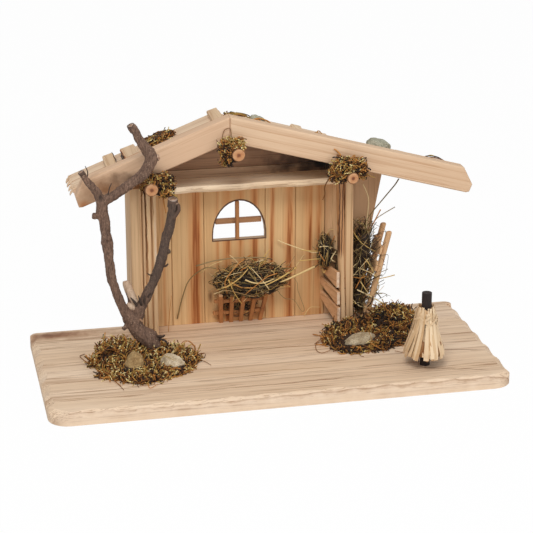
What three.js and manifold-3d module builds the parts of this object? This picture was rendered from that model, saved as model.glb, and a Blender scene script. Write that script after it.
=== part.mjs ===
// Nativity stable: a shallow lean-to stable on a whittled base board, with a branching twig as a tree.
// Millimetres, +Z up, X to the right, Y away from the viewer. Origin: middle of the base's underside.
import * as THREE from 'three';
import { mergeVertices } from 'three/addons/utils/BufferGeometryUtils.js';
import Module from 'manifold-3d';

const wasm = await Module();
wasm.setup();

// Clearance between glued pieces that are cut or laid at an angle, and the open joint between boards
const fit = 0.3;

// Base board
const baseWidth = 500;
const baseDepth = 232;
const baseThick = 14;
const frontCornerRadius = 22;
const backCornerRadius = 9;
const whittlePitch = 37;
const whittleWidth = 9;
const whittleDepth = 6;

// Back wall, boards from left to right; its inset is from the base's left end
const wallInset = 116;
const wallSetback = 3;
const wallThick = 8;
const wallBoardWidths = [48, 37.5, 71, 35.5, 34.8];
const windowBoard = 2;
const windowWidth = 60.5;
const windowSpring = 6;
const windowRise = 40;
const windowHeadroom = 22;
const glazingBar = 4.5;
const mullionShift = 2;
const transomHeight = 6;
const transomAboveSill = 21;
const outerPanelThick = 5;
const outerPanelFootWidth = 36;
const outerPanelFlare = 0.184;

// Gable, loft board and side pieces
const gableLowerHeight = 18;
const loftThick = 8.5;
const loftDepth = 34.5;
const stableDepth = 37;
const leftWallThick = 13.5;
const leftWallOverhang = 3.8;
const leftPostWidth = 16.5;
const leftPostDepth = 13;
const rightPostOffset = 11.2;
const rightPostLean = -6;
const rightPostFootWidth = 15.5;
const rightPostTopWidth = 19;
const rightPostDepth = 12;
const sidePanelThick = 5;
const sidePanelGap = 18.5;
const fencePlankThick = 3.5;
const fenceSplay = 11.5;

// Roof: the barge boards' top edges meet at the ridge, a rise above the wall boards
const ridgeInset = 105.5;
const ridgeHeight = 259.2;
const gableRise = 91.7;
const leftPitch = THREE.MathUtils.degToRad(21.1);
const rightPitch = THREE.MathUtils.degToRad(15.3);
const leftRun = 170;
const rightRun = 278;
const bargeHeight = 29;
const bargeThick = 16;
const bargeAhead = 21;
const roofBehind = 1.5;
const deckThick = 5;
const leftDeckDrop = 9;
const rightDeckDrop = 13;
const toothLength = 6.5;
const battenWidth = 11.5;
const barkBattenWidth = 16;
const battenThick = 6;
const ledgeThick = 4;
const ledgeLength = 99;

// Round purlins
const purlinAhead = 17;
const ridgePurlinRadius = 7.5;
const leftPurlinRadius = 7.5;
const rightPurlinRadius = 6.7;
const ridgePurlinOffset = 6;
const leftPurlinOffset = 16;
const rightPurlinOffset = 12.8;

// Things on the roof, by level distance from the ridge or from the eave
const ridgeBattenRun = 8;
const ridgeMossRun = 11.5;
const ridgeStoneRun = 36;
const ledgeRun = 72;
const leftMossRun = 72;
const ledgeChipRun = 80;
const roofStoneRun = 176;
const eaveBattenFromEave = 44;
const barkBattenFromEave = 68;
const rightChipFromEave = 69;
const rightMossFromEave = 38;
const roofStoneSize = [28, 22, 16.5];
const ridgeStoneSize = [19, 17, 7];
const leftMossReach = [18, 12];
const leftMossHeight = 7.5;
const ridgeMossReach = [9.5, 14];
const ridgeMossHeight = 7;
const rightMossReach = [12.5, 9];
const rightMossHeight = 5.5;

// Tree, beside and ahead of the left post
const treeOffset = 10;
const treeAhead = 54;
const trunkRadius = 10;

// Moss islands on the base: reach of each heap along X and Y, and its height
const treeMossReach = [58, 47];
const treeMossHeight = 11;
const treeHeapReach = [23, 24];
const treeHeapHeight = 20;
const postMossReach = [47, 42];
const postMossHeight = 11;
const postHeapReach = [29, 29];
const postHeapHeight = 24;

// Stones on the base: length, depth and height
const leftStoneSize = [24, 21, 21];
const rightStoneSize = [26, 19, 19];
const postStoneSize = [41, 21, 15];
const stoneClearance = 1.04;

// Wall manger and hay rack
const mangerOffset = 104;
const mangerBars = 5;
const mangerPitch = 11.4;
const mangerSpread = 13;
const mangerHeight = 42;
const mangerLean = 20;
const mangerBarWidth = 4.6;
const mangerBarThick = 3.6;
const rackOffset = 31.6;
const rackLean = 0.247;
const rackHeight = 106;
const rackStick = 6.5;
const rackFront = 9;
const rackGauge = 26;
const slatThick = 3;
const mangerHaySize = [92, 33, 36];
const mangerHaySink = 6;
const fenceHaySize = [14, 26, 38];
const fenceHaySag = 4;

// Straw sheaf on its peg, placed from the base's right and front edges
const sheafInset = 86.5;
const sheafFromFront = 49.5;
const pegRadius = 5.4;
const pegHeight = 83.5;
const strawFoot = 12.5;
const strawHeight = 55;
const neckRadius = 11.4;
const hemRadius = 22.5;
const neckShare = 0.71;
const tieBand = 4;
const tieThick = 1.2;
const strawStrips = 22;
const stripSwell = 0.02;

const baseTop = baseThick;
const wallHeight = ridgeHeight - gableRise;
const wallLeft = wallInset - baseWidth / 2;
const wallBack = baseDepth / 2 - wallSetback;
const wallFront = wallBack - wallThick;
const wallTop = baseTop + wallHeight;
const wallRight = wallLeft + wallBoardWidths.reduce((sum, width) => sum + width, 0);
const windowSill = wallHeight - windowHeadroom - windowRise - windowSpring;
const ridgeX = wallLeft + ridgeInset;
const rightPostFootX = wallRight + rightPostOffset;
const gableSeam = wallTop + gableLowerHeight;
const loftTop = wallTop + loftThick;
const postFront = wallFront - stableDepth;
const ridgeTop = baseTop + ridgeHeight;
const bargeFront = postFront - bargeAhead;
const bargeBack = bargeFront + bargeThick;
const roofBack = wallBack + roofBehind;
const purlinFront = bargeFront - purlinAhead;
const leftSlope = Math.tan(leftPitch);
const rightSlope = Math.tan(rightPitch);
const treeX = wallLeft + treeOffset;
const treeY = postFront - treeAhead;
const mangerX = wallLeft + mangerOffset;
const rackFootX = rightPostFootX + rackOffset;
const sheafX = baseWidth / 2 - sheafInset;
const sheafY = sheafFromFront - baseDepth / 2;

const wood = { color: 0xd8b489, roughness: 0.75 };
const paleWood = { color: 0xe0c49c, roughness: 0.75 };
const barkWood = { color: 0x5b4a40, roughness: 0.9 };
const greyWood = { color: 0xa68d72, roughness: 0.8 };
const mossGreen = { color: 0x6f6424, roughness: 1 };
const hayTan = { color: 0x8f7a45, roughness: 1 };
const strawCream = { color: 0xdcc79a, roughness: 0.9 };
const stoneGrey = { color: 0x8f8f80, roughness: 0.85 };
const stoneTan = { color: 0x9a8558, roughness: 0.85 };
const pegBrown = { color: 0x2e2523, roughness: 0.7 };

const stable = new THREE.Group();
const leftRoof = new THREE.Group();
const rightRoof = new THREE.Group();
for (const slope of [leftRoof, rightRoof]) {
  slope.position.set(ridgeX, 0, ridgeTop);
  stable.add(slope);
}
leftRoof.rotation.y = -leftPitch;
rightRoof.rotation.y = rightPitch;

function add(name, geometry, finish, parent = stable) {
  const mesh = new THREE.Mesh(geometry, new THREE.MeshStandardMaterial(finish));
  mesh.name = name;
  parent.add(mesh);
  return mesh;
}

// Geometry helpers

function point(x, y, z) {
  return new THREE.Vector3(x, y, z);
}

function mix(from, to, share) {
  return from + (to - from) * share;
}

function toSolid(geometry) {
  const bare = geometry.clone();
  bare.deleteAttribute('normal');
  bare.deleteAttribute('uv');
  const merged = mergeVertices(bare, 1e-4);
  const triVerts = Uint32Array.from(merged.index.array);
  const vertProperties = Float32Array.from(merged.attributes.position.array);
  return new wasm.Manifold(new wasm.Mesh({ numProp: 3, vertProperties, triVerts }));
}

function toGeometry(solid) {
  const mesh = solid.getMesh();
  const geometry = new THREE.BufferGeometry();
  geometry.setAttribute('position', new THREE.BufferAttribute(Float32Array.from(mesh.vertProperties), 3));
  geometry.setIndex(Array.from(mesh.triVerts));
  return geometry;
}

function cut(geometry, ...tools) {
  return toGeometry(tools.reduce((body, tool) => body.subtract(toSolid(tool)), toSolid(geometry)));
}

function join(...geometries) {
  return toGeometry(geometries.map(toSolid).reduce((body, next) => body.add(next)));
}

// Triangles that close a ring, counter-clockwise about its own normal
function capTriangles(ring) {
  const normal = point(0, 0, 0);
  ring.forEach((here, i) => normal.add(here.clone().cross(ring[(i + 1) % ring.length])));
  normal.normalize();
  const along = ring[1].clone().sub(ring[0]).normalize();
  const across = normal.clone().cross(along);
  const flat = ring.map((corner) => new THREE.Vector2(corner.dot(along), corner.dot(across)));
  return THREE.ShapeUtils.triangulateShape(flat, []);
}

// Closed body through matching rings, each counter-clockwise as seen from where the rings lead
function loft(rings) {
  const count = rings[0].length;
  const index = [];
  for (let i = 0; i + 1 < rings.length; i += 1) {
    for (let j = 0; j < count; j += 1) {
      const a = i * count + j;
      const b = i * count + ((j + 1) % count);
      index.push(a, b, b + count, a, b + count, a + count);
    }
  }
  const last = (rings.length - 1) * count;
  capTriangles(rings[0]).forEach(([a, b, c]) => index.push(a, c, b));
  capTriangles(rings[rings.length - 1]).forEach(([a, b, c]) => index.push(last + a, last + b, last + c));
  const geometry = new THREE.BufferGeometry().setFromPoints(rings.flat());
  geometry.setIndex(index);
  return geometry;
}

function shapeOf(corners) {
  return new THREE.Shape(corners.map(([a, b]) => new THREE.Vector2(a, b)));
}

// Outline in X and Y, raised along Z
function slab(shape, zLow, height, bevel = 0) {
  const geometry = new THREE.ExtrudeGeometry(shape, {
    depth: height - 2 * bevel,
    bevelEnabled: bevel > 0,
    bevelSize: bevel,
    bevelThickness: bevel,
    bevelOffset: -bevel,
    bevelSegments: 1,
    curveSegments: 8,
  });
  return geometry.translate(0, 0, zLow + bevel);
}

// Outline in X and Z, with its front face at yFront
function board(shape, yFront, thick, bevel = 0) {
  return slab(shape, 0, thick, bevel).rotateX(Math.PI / 2).translate(0, yFront + thick, 0);
}

function box(x0, x1, y0, y1, z0, z1) {
  return new THREE.BoxGeometry(x1 - x0, y1 - y0, z1 - z0)
    .translate((x0 + x1) / 2, (y0 + y1) / 2, (z0 + z1) / 2);
}

function levelRing(corners, z) {
  return corners.map(([x, y]) => point(x, y, z));
}

function rectangle(x0, x1, y0, y1) {
  return [[x0, y0], [x1, y0], [x1, y1], [x0, y1]];
}

// Round stick, branch or stub along a smooth path; the path stays near one plane of constant Y
function limb(path, radii, { sides = 10, grow = 0, lumps = 0.05 } = {}) {
  const curve = new THREE.CatmullRomCurve3(path.map(([x, y, z]) => point(x, y, z)));
  const steps = (path.length - 1) * 2;
  const rings = [];
  for (let i = 0; i <= steps; i += 1) {
    const t = i / steps;
    const tangent = curve.getTangent(t);
    const side = point(0, 1, 0).cross(tangent).normalize();
    const rise = tangent.clone().cross(side);
    const slot = Math.min(Math.floor(t * (radii.length - 1)), radii.length - 2);
    const radius = mix(radii[slot], radii[slot + 1], t * (radii.length - 1) - slot) + grow;
    const ring = [];
    for (let j = 0; j < sides; j += 1) {
      const angle = (j / sides) * Math.PI * 2;
      const reach = radius * (1 + lumps * Math.sin(3 * angle + i * 1.3) * Math.sin(i * 0.9 + 1));
      ring.push(curve.getPoint(t)
        .addScaledVector(side, reach * Math.cos(angle))
        .addScaledVector(rise, reach * Math.sin(angle)));
    }
    rings.push(ring);
  }
  return loft(rings);
}

// Low heap with a flat underside at z: a rim, then rings that shrink as the heap rises
function mound({ place, reach, height, wobble = 0.1, phase = 0, spokes = 28 }) {
  const [x, y, z] = place;
  const [reachX, reachY] = reach;
  const shares = [1, 1, 0.9, 0.74, 0.52, 0.26];
  const lift = [0, 0.16, 0.5, 0.8, 0.95, 1];
  const rings = shares.map((share, level) => {
    const ring = [];
    for (let j = 0; j < spokes; j += 1) {
      const angle = (j / spokes) * Math.PI * 2;
      const edge = 1 + wobble * (Math.sin(3 * angle + phase) + 0.6 * Math.sin(7 * angle + 2 * phase)) * share;
      const bump = 1 + 0.12 * Math.sin(5 * angle + phase + level * 2);
      const rise = level < 1 ? 0 : lift[level] * height * (level > 4 ? 1 : bump);
      ring.push(point(
        x + reachX * share * edge * Math.cos(angle),
        y + reachY * share * edge * Math.sin(angle),
        z + rise,
      ));
    }
    return ring;
  });
  return loft(rings);
}

// Water-worn stone or tuft: a lumpy ellipsoid, flattened where it rests at z
function pebble({ place, size, sink = 0.72, phase = 0, lumps = 0.07, spin = 0 }) {
  const [sizeX, sizeY, sizeZ] = size;
  const geometry = new THREE.IcosahedronGeometry(1, 2);
  const position = geometry.attributes.position;
  for (let i = 0; i < position.count; i += 1) {
    const v = point(position.getX(i), position.getY(i), position.getZ(i));
    const swirl = Math.sin(2.7 * v.y + 1.7 * phase) * Math.cos(2.3 * v.z);
    v.multiplyScalar(1 + lumps * (Math.sin(3.1 * v.x + phase) + swirl));
    v.z = Math.max(v.z, -sink);
    position.setXYZ(i, v.x * sizeX / 2, v.y * sizeY / 2, (v.z + sink) * sizeZ / (1 + sink));
  }
  return geometry.rotateZ(spin).translate(...place);
}

// Base board: a rounded plate whose left, front and right top edges are whittled in scallops

function baseOutline() {
  const halfWidth = baseWidth / 2;
  const halfDepth = baseDepth / 2;
  const outline = [];
  const corners = [
    [-halfWidth, -halfDepth, frontCornerRadius, Math.PI],
    [halfWidth, -halfDepth, frontCornerRadius, Math.PI * 1.5],
    [halfWidth, halfDepth, backCornerRadius, 0],
    [-halfWidth, halfDepth, backCornerRadius, Math.PI * 0.5],
  ];
  const cornerSteps = 6;
  const edgeStep = whittlePitch / 5;
  corners.forEach(([x, y, radius, start], corner) => {
    const centreX = x - Math.sign(x) * radius;
    const centreY = y - Math.sign(y) * radius;
    for (let i = 0; i <= cornerSteps; i += 1) {
      const angle = start + (i / cornerSteps) * Math.PI / 2;
      outline.push([centreX + radius * Math.cos(angle), centreY + radius * Math.sin(angle)]);
    }
    const [nextX, nextY, nextRadius] = corners[(corner + 1) % corners.length];
    const alongX = corner % 2 === 0;
    const length = (alongX ? baseWidth : baseDepth) - radius - nextRadius;
    const pieces = corner === 2 ? 1 : Math.round(length / edgeStep);
    const [fromX, fromY] = outline[outline.length - 1];
    const toX = alongX ? nextX - Math.sign(nextX) * nextRadius : nextX;
    const toY = alongX ? nextY : nextY - Math.sign(nextY) * nextRadius;
    for (let i = 1; i < pieces; i += 1) {
      outline.push([mix(fromX, toX, i / pieces), mix(fromY, toY, i / pieces)]);
    }
  });
  return outline;
}

function baseBoard() {
  const outline = baseOutline();
  const inwards = outline.map((here, i) => {
    const before = outline[(i + outline.length - 1) % outline.length];
    const after = outline[(i + 1) % outline.length];
    return new THREE.Vector2(before[1] - after[1], after[0] - before[0]).normalize();
  });
  let travelled = 0;
  const bevels = outline.map(([x, y], i) => {
    const [lastX, lastY] = outline[Math.max(i - 1, 0)];
    travelled += Math.hypot(x - lastX, y - lastY);
    const scallop = Math.abs(Math.sin((travelled / whittlePitch) * Math.PI));
    const plain = y > baseDepth / 2 - backCornerRadius;
    const share = plain ? 0.12 : 0.35 + 0.65 * scallop;
    return { inset: whittleWidth * share, drop: whittleDepth * (plain ? 0.15 : 0.55 + 0.45 * scallop) };
  });
  const foot = outline.map(([x, y]) => point(x, y, 0));
  const brow = outline.map(([x, y], i) => point(x, y, baseTop - bevels[i].drop));
  const crown = outline.map(([x, y], i) => {
    const { inset } = bevels[i];
    return point(x + inwards[i].x * inset, y + inwards[i].y * inset, baseTop);
  });
  return loft([foot, brow, crown]);
}
add('base_board', baseBoard(), paleWood);

// Back wall: five upright boards, the middle one notched for the window
const boardEdges = [wallLeft];
wallBoardWidths.forEach((width) => boardEdges.push(boardEdges[boardEdges.length - 1] + width));
const windowRight = boardEdges[windowBoard + 1];
const windowLeft = windowRight - windowWidth;
const windowMiddle = (windowLeft + windowRight) / 2;
const sillZ = baseTop + windowSill;

function windowOutline(overrun) {
  const shape = new THREE.Shape();
  shape.moveTo(windowLeft, sillZ);
  shape.lineTo(windowRight + overrun, sillZ);
  shape.lineTo(windowRight + overrun, sillZ + windowSpring);
  shape.lineTo(windowRight, sillZ + windowSpring);
  shape.absellipse(windowMiddle, sillZ + windowSpring, windowWidth / 2, windowRise, 0, Math.PI, false, 0);
  shape.closePath();
  return shape;
}

function wallBoard(slot) {
  const x0 = boardEdges[slot] + (slot > 0 ? fit / 2 : 0);
  const x1 = boardEdges[slot + 1] - fit / 2;
  const plan = shapeOf([
    [x0 + 0.6, wallFront], [x1 - 0.6, wallFront], [x1, wallFront + 0.8],
    [x1, wallBack], [x0, wallBack], [x0, wallFront + 0.8],
  ]);
  return slab(plan, baseTop, wallHeight);
}

boardEdges.slice(0, -1).forEach((edge, slot) => {
  const plain = wallBoard(slot);
  const body = slot === windowBoard
    ? cut(plain, board(windowOutline(wallThick), wallFront - wallThick, wallThick * 3))
    : plain;
  add(`wall_board_${slot + 1}`, body, wood);
});

// Glazing bars: the mullion stands in the front half of the window, the transom lies behind it
const springZ = sillZ + windowSpring;
const transomZ = sillZ + transomAboveSill;
const transomTop = transomZ + transomHeight / 2;
const transomHalf = (windowWidth / 2) * Math.sqrt(1 - ((transomTop - springZ) / windowRise) ** 2);
const barDepth = wallThick / 2 - fit;
const mullionX = windowMiddle - mullionShift;
const mullionReach = (mullionShift + glazingBar / 2) / (windowWidth / 2);
const mullionTop = springZ + windowRise * Math.sqrt(1 - mullionReach ** 2) - fit;
add('window_mullion', box(
  mullionX - glazingBar / 2,
  mullionX + glazingBar / 2,
  wallFront,
  wallFront + barDepth,
  sillZ,
  mullionTop,
), wood);
add('window_transom', box(
  windowMiddle - transomHalf + fit,
  windowMiddle + transomHalf - fit,
  wallFront + barDepth + fit,
  wallBack,
  transomZ - transomHeight / 2,
  transomTop,
), greyWood);

// Height of each roof line at a place x, measured from the ridge line
function roofLine(x, drop) {
  const slope = x < ridgeX ? leftSlope : rightSlope;
  return ridgeTop - drop - slope * Math.abs(x - ridgeX);
}

function deckUnder(x) {
  const left = x < ridgeX;
  const thickness = deckThick / Math.cos(left ? leftPitch : rightPitch);
  return roofLine(x, (left ? leftDeckDrop : rightDeckDrop) + thickness) - fit;
}

// Gable: two level boards that close the space between the wall and the roof
add('gable_board_lower', board(
  shapeOf(rectangle(wallLeft, wallRight, wallTop, gableSeam - fit)),
  wallFront,
  wallThick,
), greyWood);
add('gable_board_upper', board(
  shapeOf([
    [wallLeft, gableSeam],
    [wallRight, gableSeam],
    [wallRight, deckUnder(wallRight)],
    [ridgeX, deckUnder(ridgeX)],
    [ridgeX, deckUnder(ridgeX - 0.001)],
    [wallLeft, deckUnder(wallLeft)],
  ]),
  wallFront,
  wallThick,
), greyWood);

// Outer panel behind the hay rack, flaring outwards until its edge meets the deck
function outerPanel() {
  const left = wallRight + fit;
  const footRight = wallRight + outerPanelFootWidth;
  const riseAtFoot = deckUnder(footRight) - baseTop;
  const flare = outerPanelFlare * riseAtFoot / (1 + outerPanelFlare * rightSlope);
  const topRight = footRight + flare;
  const foot = [[left, baseTop], [footRight, baseTop]];
  const top = [[topRight, deckUnder(topRight)], [left, deckUnder(left)]];
  return board(shapeOf([...foot, ...top]), wallFront, outerPanelThick);
}
add('outer_panel', outerPanel(), greyWood);

// Purlins: round sticks under the barge boards, running back to the gable
function bargeUnder(x) {
  return roofLine(x, bargeHeight);
}

function purlinHeight(x, radius) {
  const pitch = x < ridgeX ? leftPitch : rightPitch;
  return bargeUnder(x) - (radius + fit) / Math.cos(pitch);
}

function purlin(x, radius, grow = 0) {
  const z = purlinHeight(x, radius);
  const sides = 16;
  const stations = [[0, 0.86], [0.02, 1], [0.3, 0.985], [0.6, 1], [1, 0.985]];
  const length = wallFront - fit - purlinFront;
  const rings = stations.map(([share, swell]) => {
    const ring = [];
    for (let j = 0; j < sides; j += 1) {
      const angle = -(j / sides) * Math.PI * 2;
      const reach = radius * swell + grow;
      ring.push(point(
        x + reach * Math.cos(angle),
        purlinFront + length * share + (share > 0 ? grow : -grow),
        z + reach * Math.sin(angle),
      ));
    }
    return ring;
  });
  return loft(rings);
}
const purlins = {
  ridge: [ridgeX + ridgePurlinOffset, ridgePurlinRadius],
  left: [wallLeft + leftPurlinOffset, leftPurlinRadius],
  right: [wallRight + rightPurlinOffset, rightPurlinRadius],
};
Object.entries(purlins).forEach(([place, [x, radius]]) => add(`${place}_purlin`, purlin(x, radius), wood));

function purlinUnder([x, radius]) {
  return purlinHeight(x, radius) - radius - fit;
}

// Split post: a rounded stick whose front is creased where the bark edge folds in
function splitPost({ foot, top, yFront, depth, zTop, creases }) {
  const profile = [[0, 0.55], [0.06, 0.12]];
  creases.forEach((place) => profile.push([place - 0.07, 0.03], [place, 0.3], [place + 0.07, 0.02]));
  profile.push([0.94, 0.1], [1, 0.5], [0.98, 1], [0.02, 1]);
  const levels = 8;
  const rings = [];
  for (let i = 0; i <= levels; i += 1) {
    const share = i / levels;
    const x0 = mix(foot[0], top[0], share);
    const x1 = mix(foot[1], top[1], share);
    rings.push(profile.map(([across, back], j) => {
      const free = across > 0.1 && across < 0.9 && back < 0.9;
      const drift = free ? 0.025 * Math.sin(share * 9 + j * 0.5) : 0;
      return point(mix(x0, x1, across + drift), yFront + depth * back, mix(baseTop, zTop, share));
    }));
  }
  return loft(rings);
}

// Left side: the side wall's slab and the split post beside it
const leftWallX = wallLeft - leftWallOverhang;
const leftPostX = leftWallX + leftWallThick + fit;
const leftPostRight = leftPostX + leftPostWidth;
const leftPostTop = purlinUnder(purlins.left);
add('left_side_wall', slab(
  shapeOf([
    [leftWallX + 1, postFront + 1], [leftWallX + 2.5, postFront], [leftWallX + leftWallThick - 1, postFront],
    [leftWallX + leftWallThick, postFront + 1.5], [leftWallX + leftWallThick, wallFront],
    [leftWallX, wallFront],
  ]),
  baseTop,
  leftPostTop - baseTop - 1,
), wood);
add('left_post', splitPost({
  foot: [leftPostX, leftPostRight],
  top: [leftPostX, leftPostRight],
  yFront: postFront - 2,
  depth: leftPostDepth,
  zTop: leftPostTop,
  creases: [0.22, 0.62],
}), wood);

// Right side: the leaning post, the panel above and the fence planks below
const rightPostTop = purlinUnder(purlins.right);
const rightPostTopX = rightPostFootX + rightPostLean;

function rightPostSide(z, side) {
  const share = (z - baseTop) / (rightPostTop - baseTop);
  const left = mix(rightPostFootX, rightPostTopX, share);
  return side === 'left' ? left : left + mix(rightPostFootWidth, rightPostTopWidth, share);
}
add('right_post', splitPost({
  foot: [rightPostFootX, rightPostSide(baseTop, 'right')],
  top: [rightPostTopX, rightPostSide(rightPostTop, 'right')],
  yFront: postFront,
  depth: rightPostDepth,
  zTop: rightPostTop,
  creases: [0.38],
}), wood);

// Fence planks taper from the post back to the wall; heights are above the base board
const fencePlanks = [
  { near: [0, 20.5], far: [22, 30] },
  { near: [24, 39.5], far: [40, 48] },
  { near: [45, 64], far: [59, 68] },
];
const topPlank = fencePlanks[fencePlanks.length - 1];
const fenceTop = baseTop + topPlank.far[1];

function sidePanel() {
  const zLow = fenceTop + sidePanelGap;
  const zHigh = wallTop - fit;
  const back = wallFront - fit;
  const front = postFront + rightPostDepth + fit;
  const plan = (z) => {
    const atPost = rightPostSide(z, 'left');
    return [
      [atPost, front], [atPost + sidePanelThick, front],
      [wallRight + sidePanelThick, back], [wallRight, back],
    ];
  };
  return loft([levelRing(plan(zLow), zLow), levelRing(plan(zHigh), zHigh)]);
}
add('side_panel', sidePanel(), paleWood);

function fencePlank({ near, far }) {
  const yNear = postFront;
  const yFar = wallFront - fit;
  const end = (y, [low, high], splay) => {
    const xOut = rightPostSide(baseTop + high, 'left') - fit - splay;
    const xIn = xOut - fencePlankThick;
    return [
      point(xIn, y, baseTop + low), point(xIn, y, baseTop + high),
      point(xOut, y, baseTop + high), point(xOut, y, baseTop + low),
    ];
  };
  return loft([end(yNear, near, 0), end(yFar, far, fenceSplay)]);
}
fencePlanks.forEach((plank, i) => add(`fence_plank_${i + 1}`, fencePlank(plank), wood));

// Loft board: its front is the wavy bark edge of the plank
function loftBoard() {
  const x0 = leftPostRight + fit;
  const x1 = rightPostSide(loftTop, 'left') - fit;
  const yBack = wallFront;
  const yFront = yBack - loftDepth;
  const stations = 24;
  const rings = [];
  for (let i = 0; i <= stations; i += 1) {
    const x = mix(x0, x1, i / stations);
    const wave = Math.sin(x / 13) + 0.6 * Math.sin(x / 5.3 + 1);
    rings.push([
      point(x, yFront + 4 + 1.2 * wave, wallTop),
      point(x, yBack, wallTop),
      point(x, yBack, loftTop),
      point(x, yFront + 1 + 0.7 * wave, loftTop),
      point(x, yFront + 0.9 + 0.8 * wave, wallTop + loftThick * 0.45 + 0.8 * wave),
    ]);
  }
  return loft(rings);
}
add('loft_board', loftBoard(), wood);

// Barge boards: whittled ends, a butt joint at the ridge
function bargeEnd(direction, run, cornerIn, tipDown) {
  const tipX = ridgeX + direction * run;
  const cornerX = tipX - direction * cornerIn;
  const lowX = tipX - direction * 3.5;
  return [
    [cornerX, roofLine(cornerX, 0)],
    [tipX, roofLine(tipX, tipDown)],
    [lowX, bargeUnder(lowX) + 1.5],
    [lowX - direction * 4, bargeUnder(lowX - direction * 4)],
  ];
}

function bargeBoard(direction, run, cornerIn, tipDown) {
  const ridge = ridgeX + direction * fit / 2;
  const end = bargeEnd(direction, run, cornerIn, tipDown);
  const corners = [[ridge, roofLine(ridge, 0)], ...end, [ridge, bargeUnder(ridge)]];
  return board(shapeOf(direction > 0 ? corners.reverse() : corners), bargeFront, bargeThick, 1.2);
}
add('left_barge_board', bargeBoard(-1, leftRun, 8, 14), paleWood);
add('right_barge_board', bargeBoard(1, rightRun, 10.5, 18), paleWood);

// Roof decks: thin boards behind the barge boards, torn at the eaves.
// In each roof group X runs along the slope, away from the ridge on its own side, and Z is square to it.
const slopes = {
  left: { group: leftRoof, way: -1, pitch: leftPitch, drop: leftDeckDrop, run: leftRun + 2 },
  right: { group: rightRoof, way: 1, pitch: rightPitch, drop: rightDeckDrop, run: rightRun - 8 },
};

function deckTop({ pitch, drop }) {
  return -drop * Math.cos(pitch);
}

// Place along a roof group's X of a level distance from the ridge, on the deck's top
function onDeck(slope, run) {
  return slope.way * (run / Math.cos(slope.pitch) - deckTop(slope) * Math.tan(slope.pitch));
}

function deckOutline({ way, pitch, run }) {
  const yFront = bargeBack + fit;
  const teeth = 7;
  const eave = run / Math.cos(pitch);
  const corners = [[way * fit, yFront]];
  for (let i = 0; i <= teeth * 2; i += 1) {
    const deep = i % 2 === 0 ? 0 : toothLength * (0.6 + 0.4 * Math.sin(i * 2.1));
    corners.push([way * (eave - deep - 1), mix(yFront, roofBack, i / (teeth * 2))]);
  }
  corners.push([way * fit, roofBack]);
  return way > 0 ? corners : corners.reverse();
}

// The shear makes the deck's ends plumb, so the two decks meet upright at the ridge
Object.entries(slopes).forEach(([side, slope]) => {
  const plumb = new THREE.Matrix4().set(
    1, 0, -slope.way * Math.tan(slope.pitch), 0,
    0, 1, 0, 0,
    0, 0, 1, 0,
    0, 0, 0, 1,
  );
  const deck = slab(shapeOf(deckOutline(slope)), deckTop(slope) - deckThick, deckThick).applyMatrix4(plumb);
  add(`${side}_roof_deck`, deck, wood, slope.group);
});

// A split batten or ledge lying on a deck; run and width are level distances from the ridge
function batten({ slope, run, width, front, back, thick, raise = 0, skew = 0 }) {
  const near = onDeck(slope, run - width / 2);
  const far = onDeck(slope, run + width / 2);
  const [x0, x1] = [Math.min(near, far), Math.max(near, far)];
  const zLow = deckTop(slope) + fit + raise;
  const low = [[x0, front], [x1, front + 1], [x1 + skew, back - 1.5], [x0 + skew, back]];
  const high = [
    [x0 + 0.8, front + 0.8], [x1 - 1.4, front + 2], [x1 + skew - 0.6, back - 3], [x0 + skew + 1, back - 1],
  ];
  return loft([levelRing(low, zLow), levelRing(low, zLow + thick * 0.7), levelRing(high, zLow + thick)]);
}
const deckFront = bargeBack + fit + 2;
add('ridge_batten', batten({
  slope: slopes.left, run: ridgeBattenRun, width: battenWidth, front: deckFront, back: roofBack - 5,
  thick: battenThick, skew: 0.5,
}), paleWood, leftRoof);
add('bark_batten', batten({
  slope: slopes.left, run: leftRun - barkBattenFromEave, width: barkBattenWidth, front: deckFront + 3,
  back: roofBack - 6, thick: battenThick, skew: -1.5,
}), wood, leftRoof);
add('eave_batten', batten({
  slope: slopes.left, run: leftRun - eaveBattenFromEave, width: battenWidth, front: deckFront,
  back: roofBack - 4, thick: battenThick, skew: 1,
}), paleWood, leftRoof);
add('right_ledge_board', batten({
  slope: slopes.right, run: ledgeRun, width: ledgeLength, front: deckFront, back: roofBack - 3,
  thick: ledgeThick,
}), wood, rightRoof);
add('ledge_chip', batten({
  slope: slopes.right, run: ledgeChipRun, width: battenWidth, front: deckFront + 6, back: roofBack - 16,
  thick: battenThick * 0.8, raise: ledgeThick + fit, skew: 2,
}), paleWood, rightRoof);
add('right_chip', batten({
  slope: slopes.right, run: rightRun - rightChipFromEave, width: battenWidth + 4, front: deckFront + 2,
  back: roofBack - 14, thick: battenThick * 0.8, skew: -2,
}), paleWood, rightRoof);

// Place on a deck, and on the ledge that lies on it
function deckPlace(slope, run, behind, raise = 0) {
  return [onDeck(slope, run), deckFront + behind, deckTop(slope) + fit + raise];
}

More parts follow.
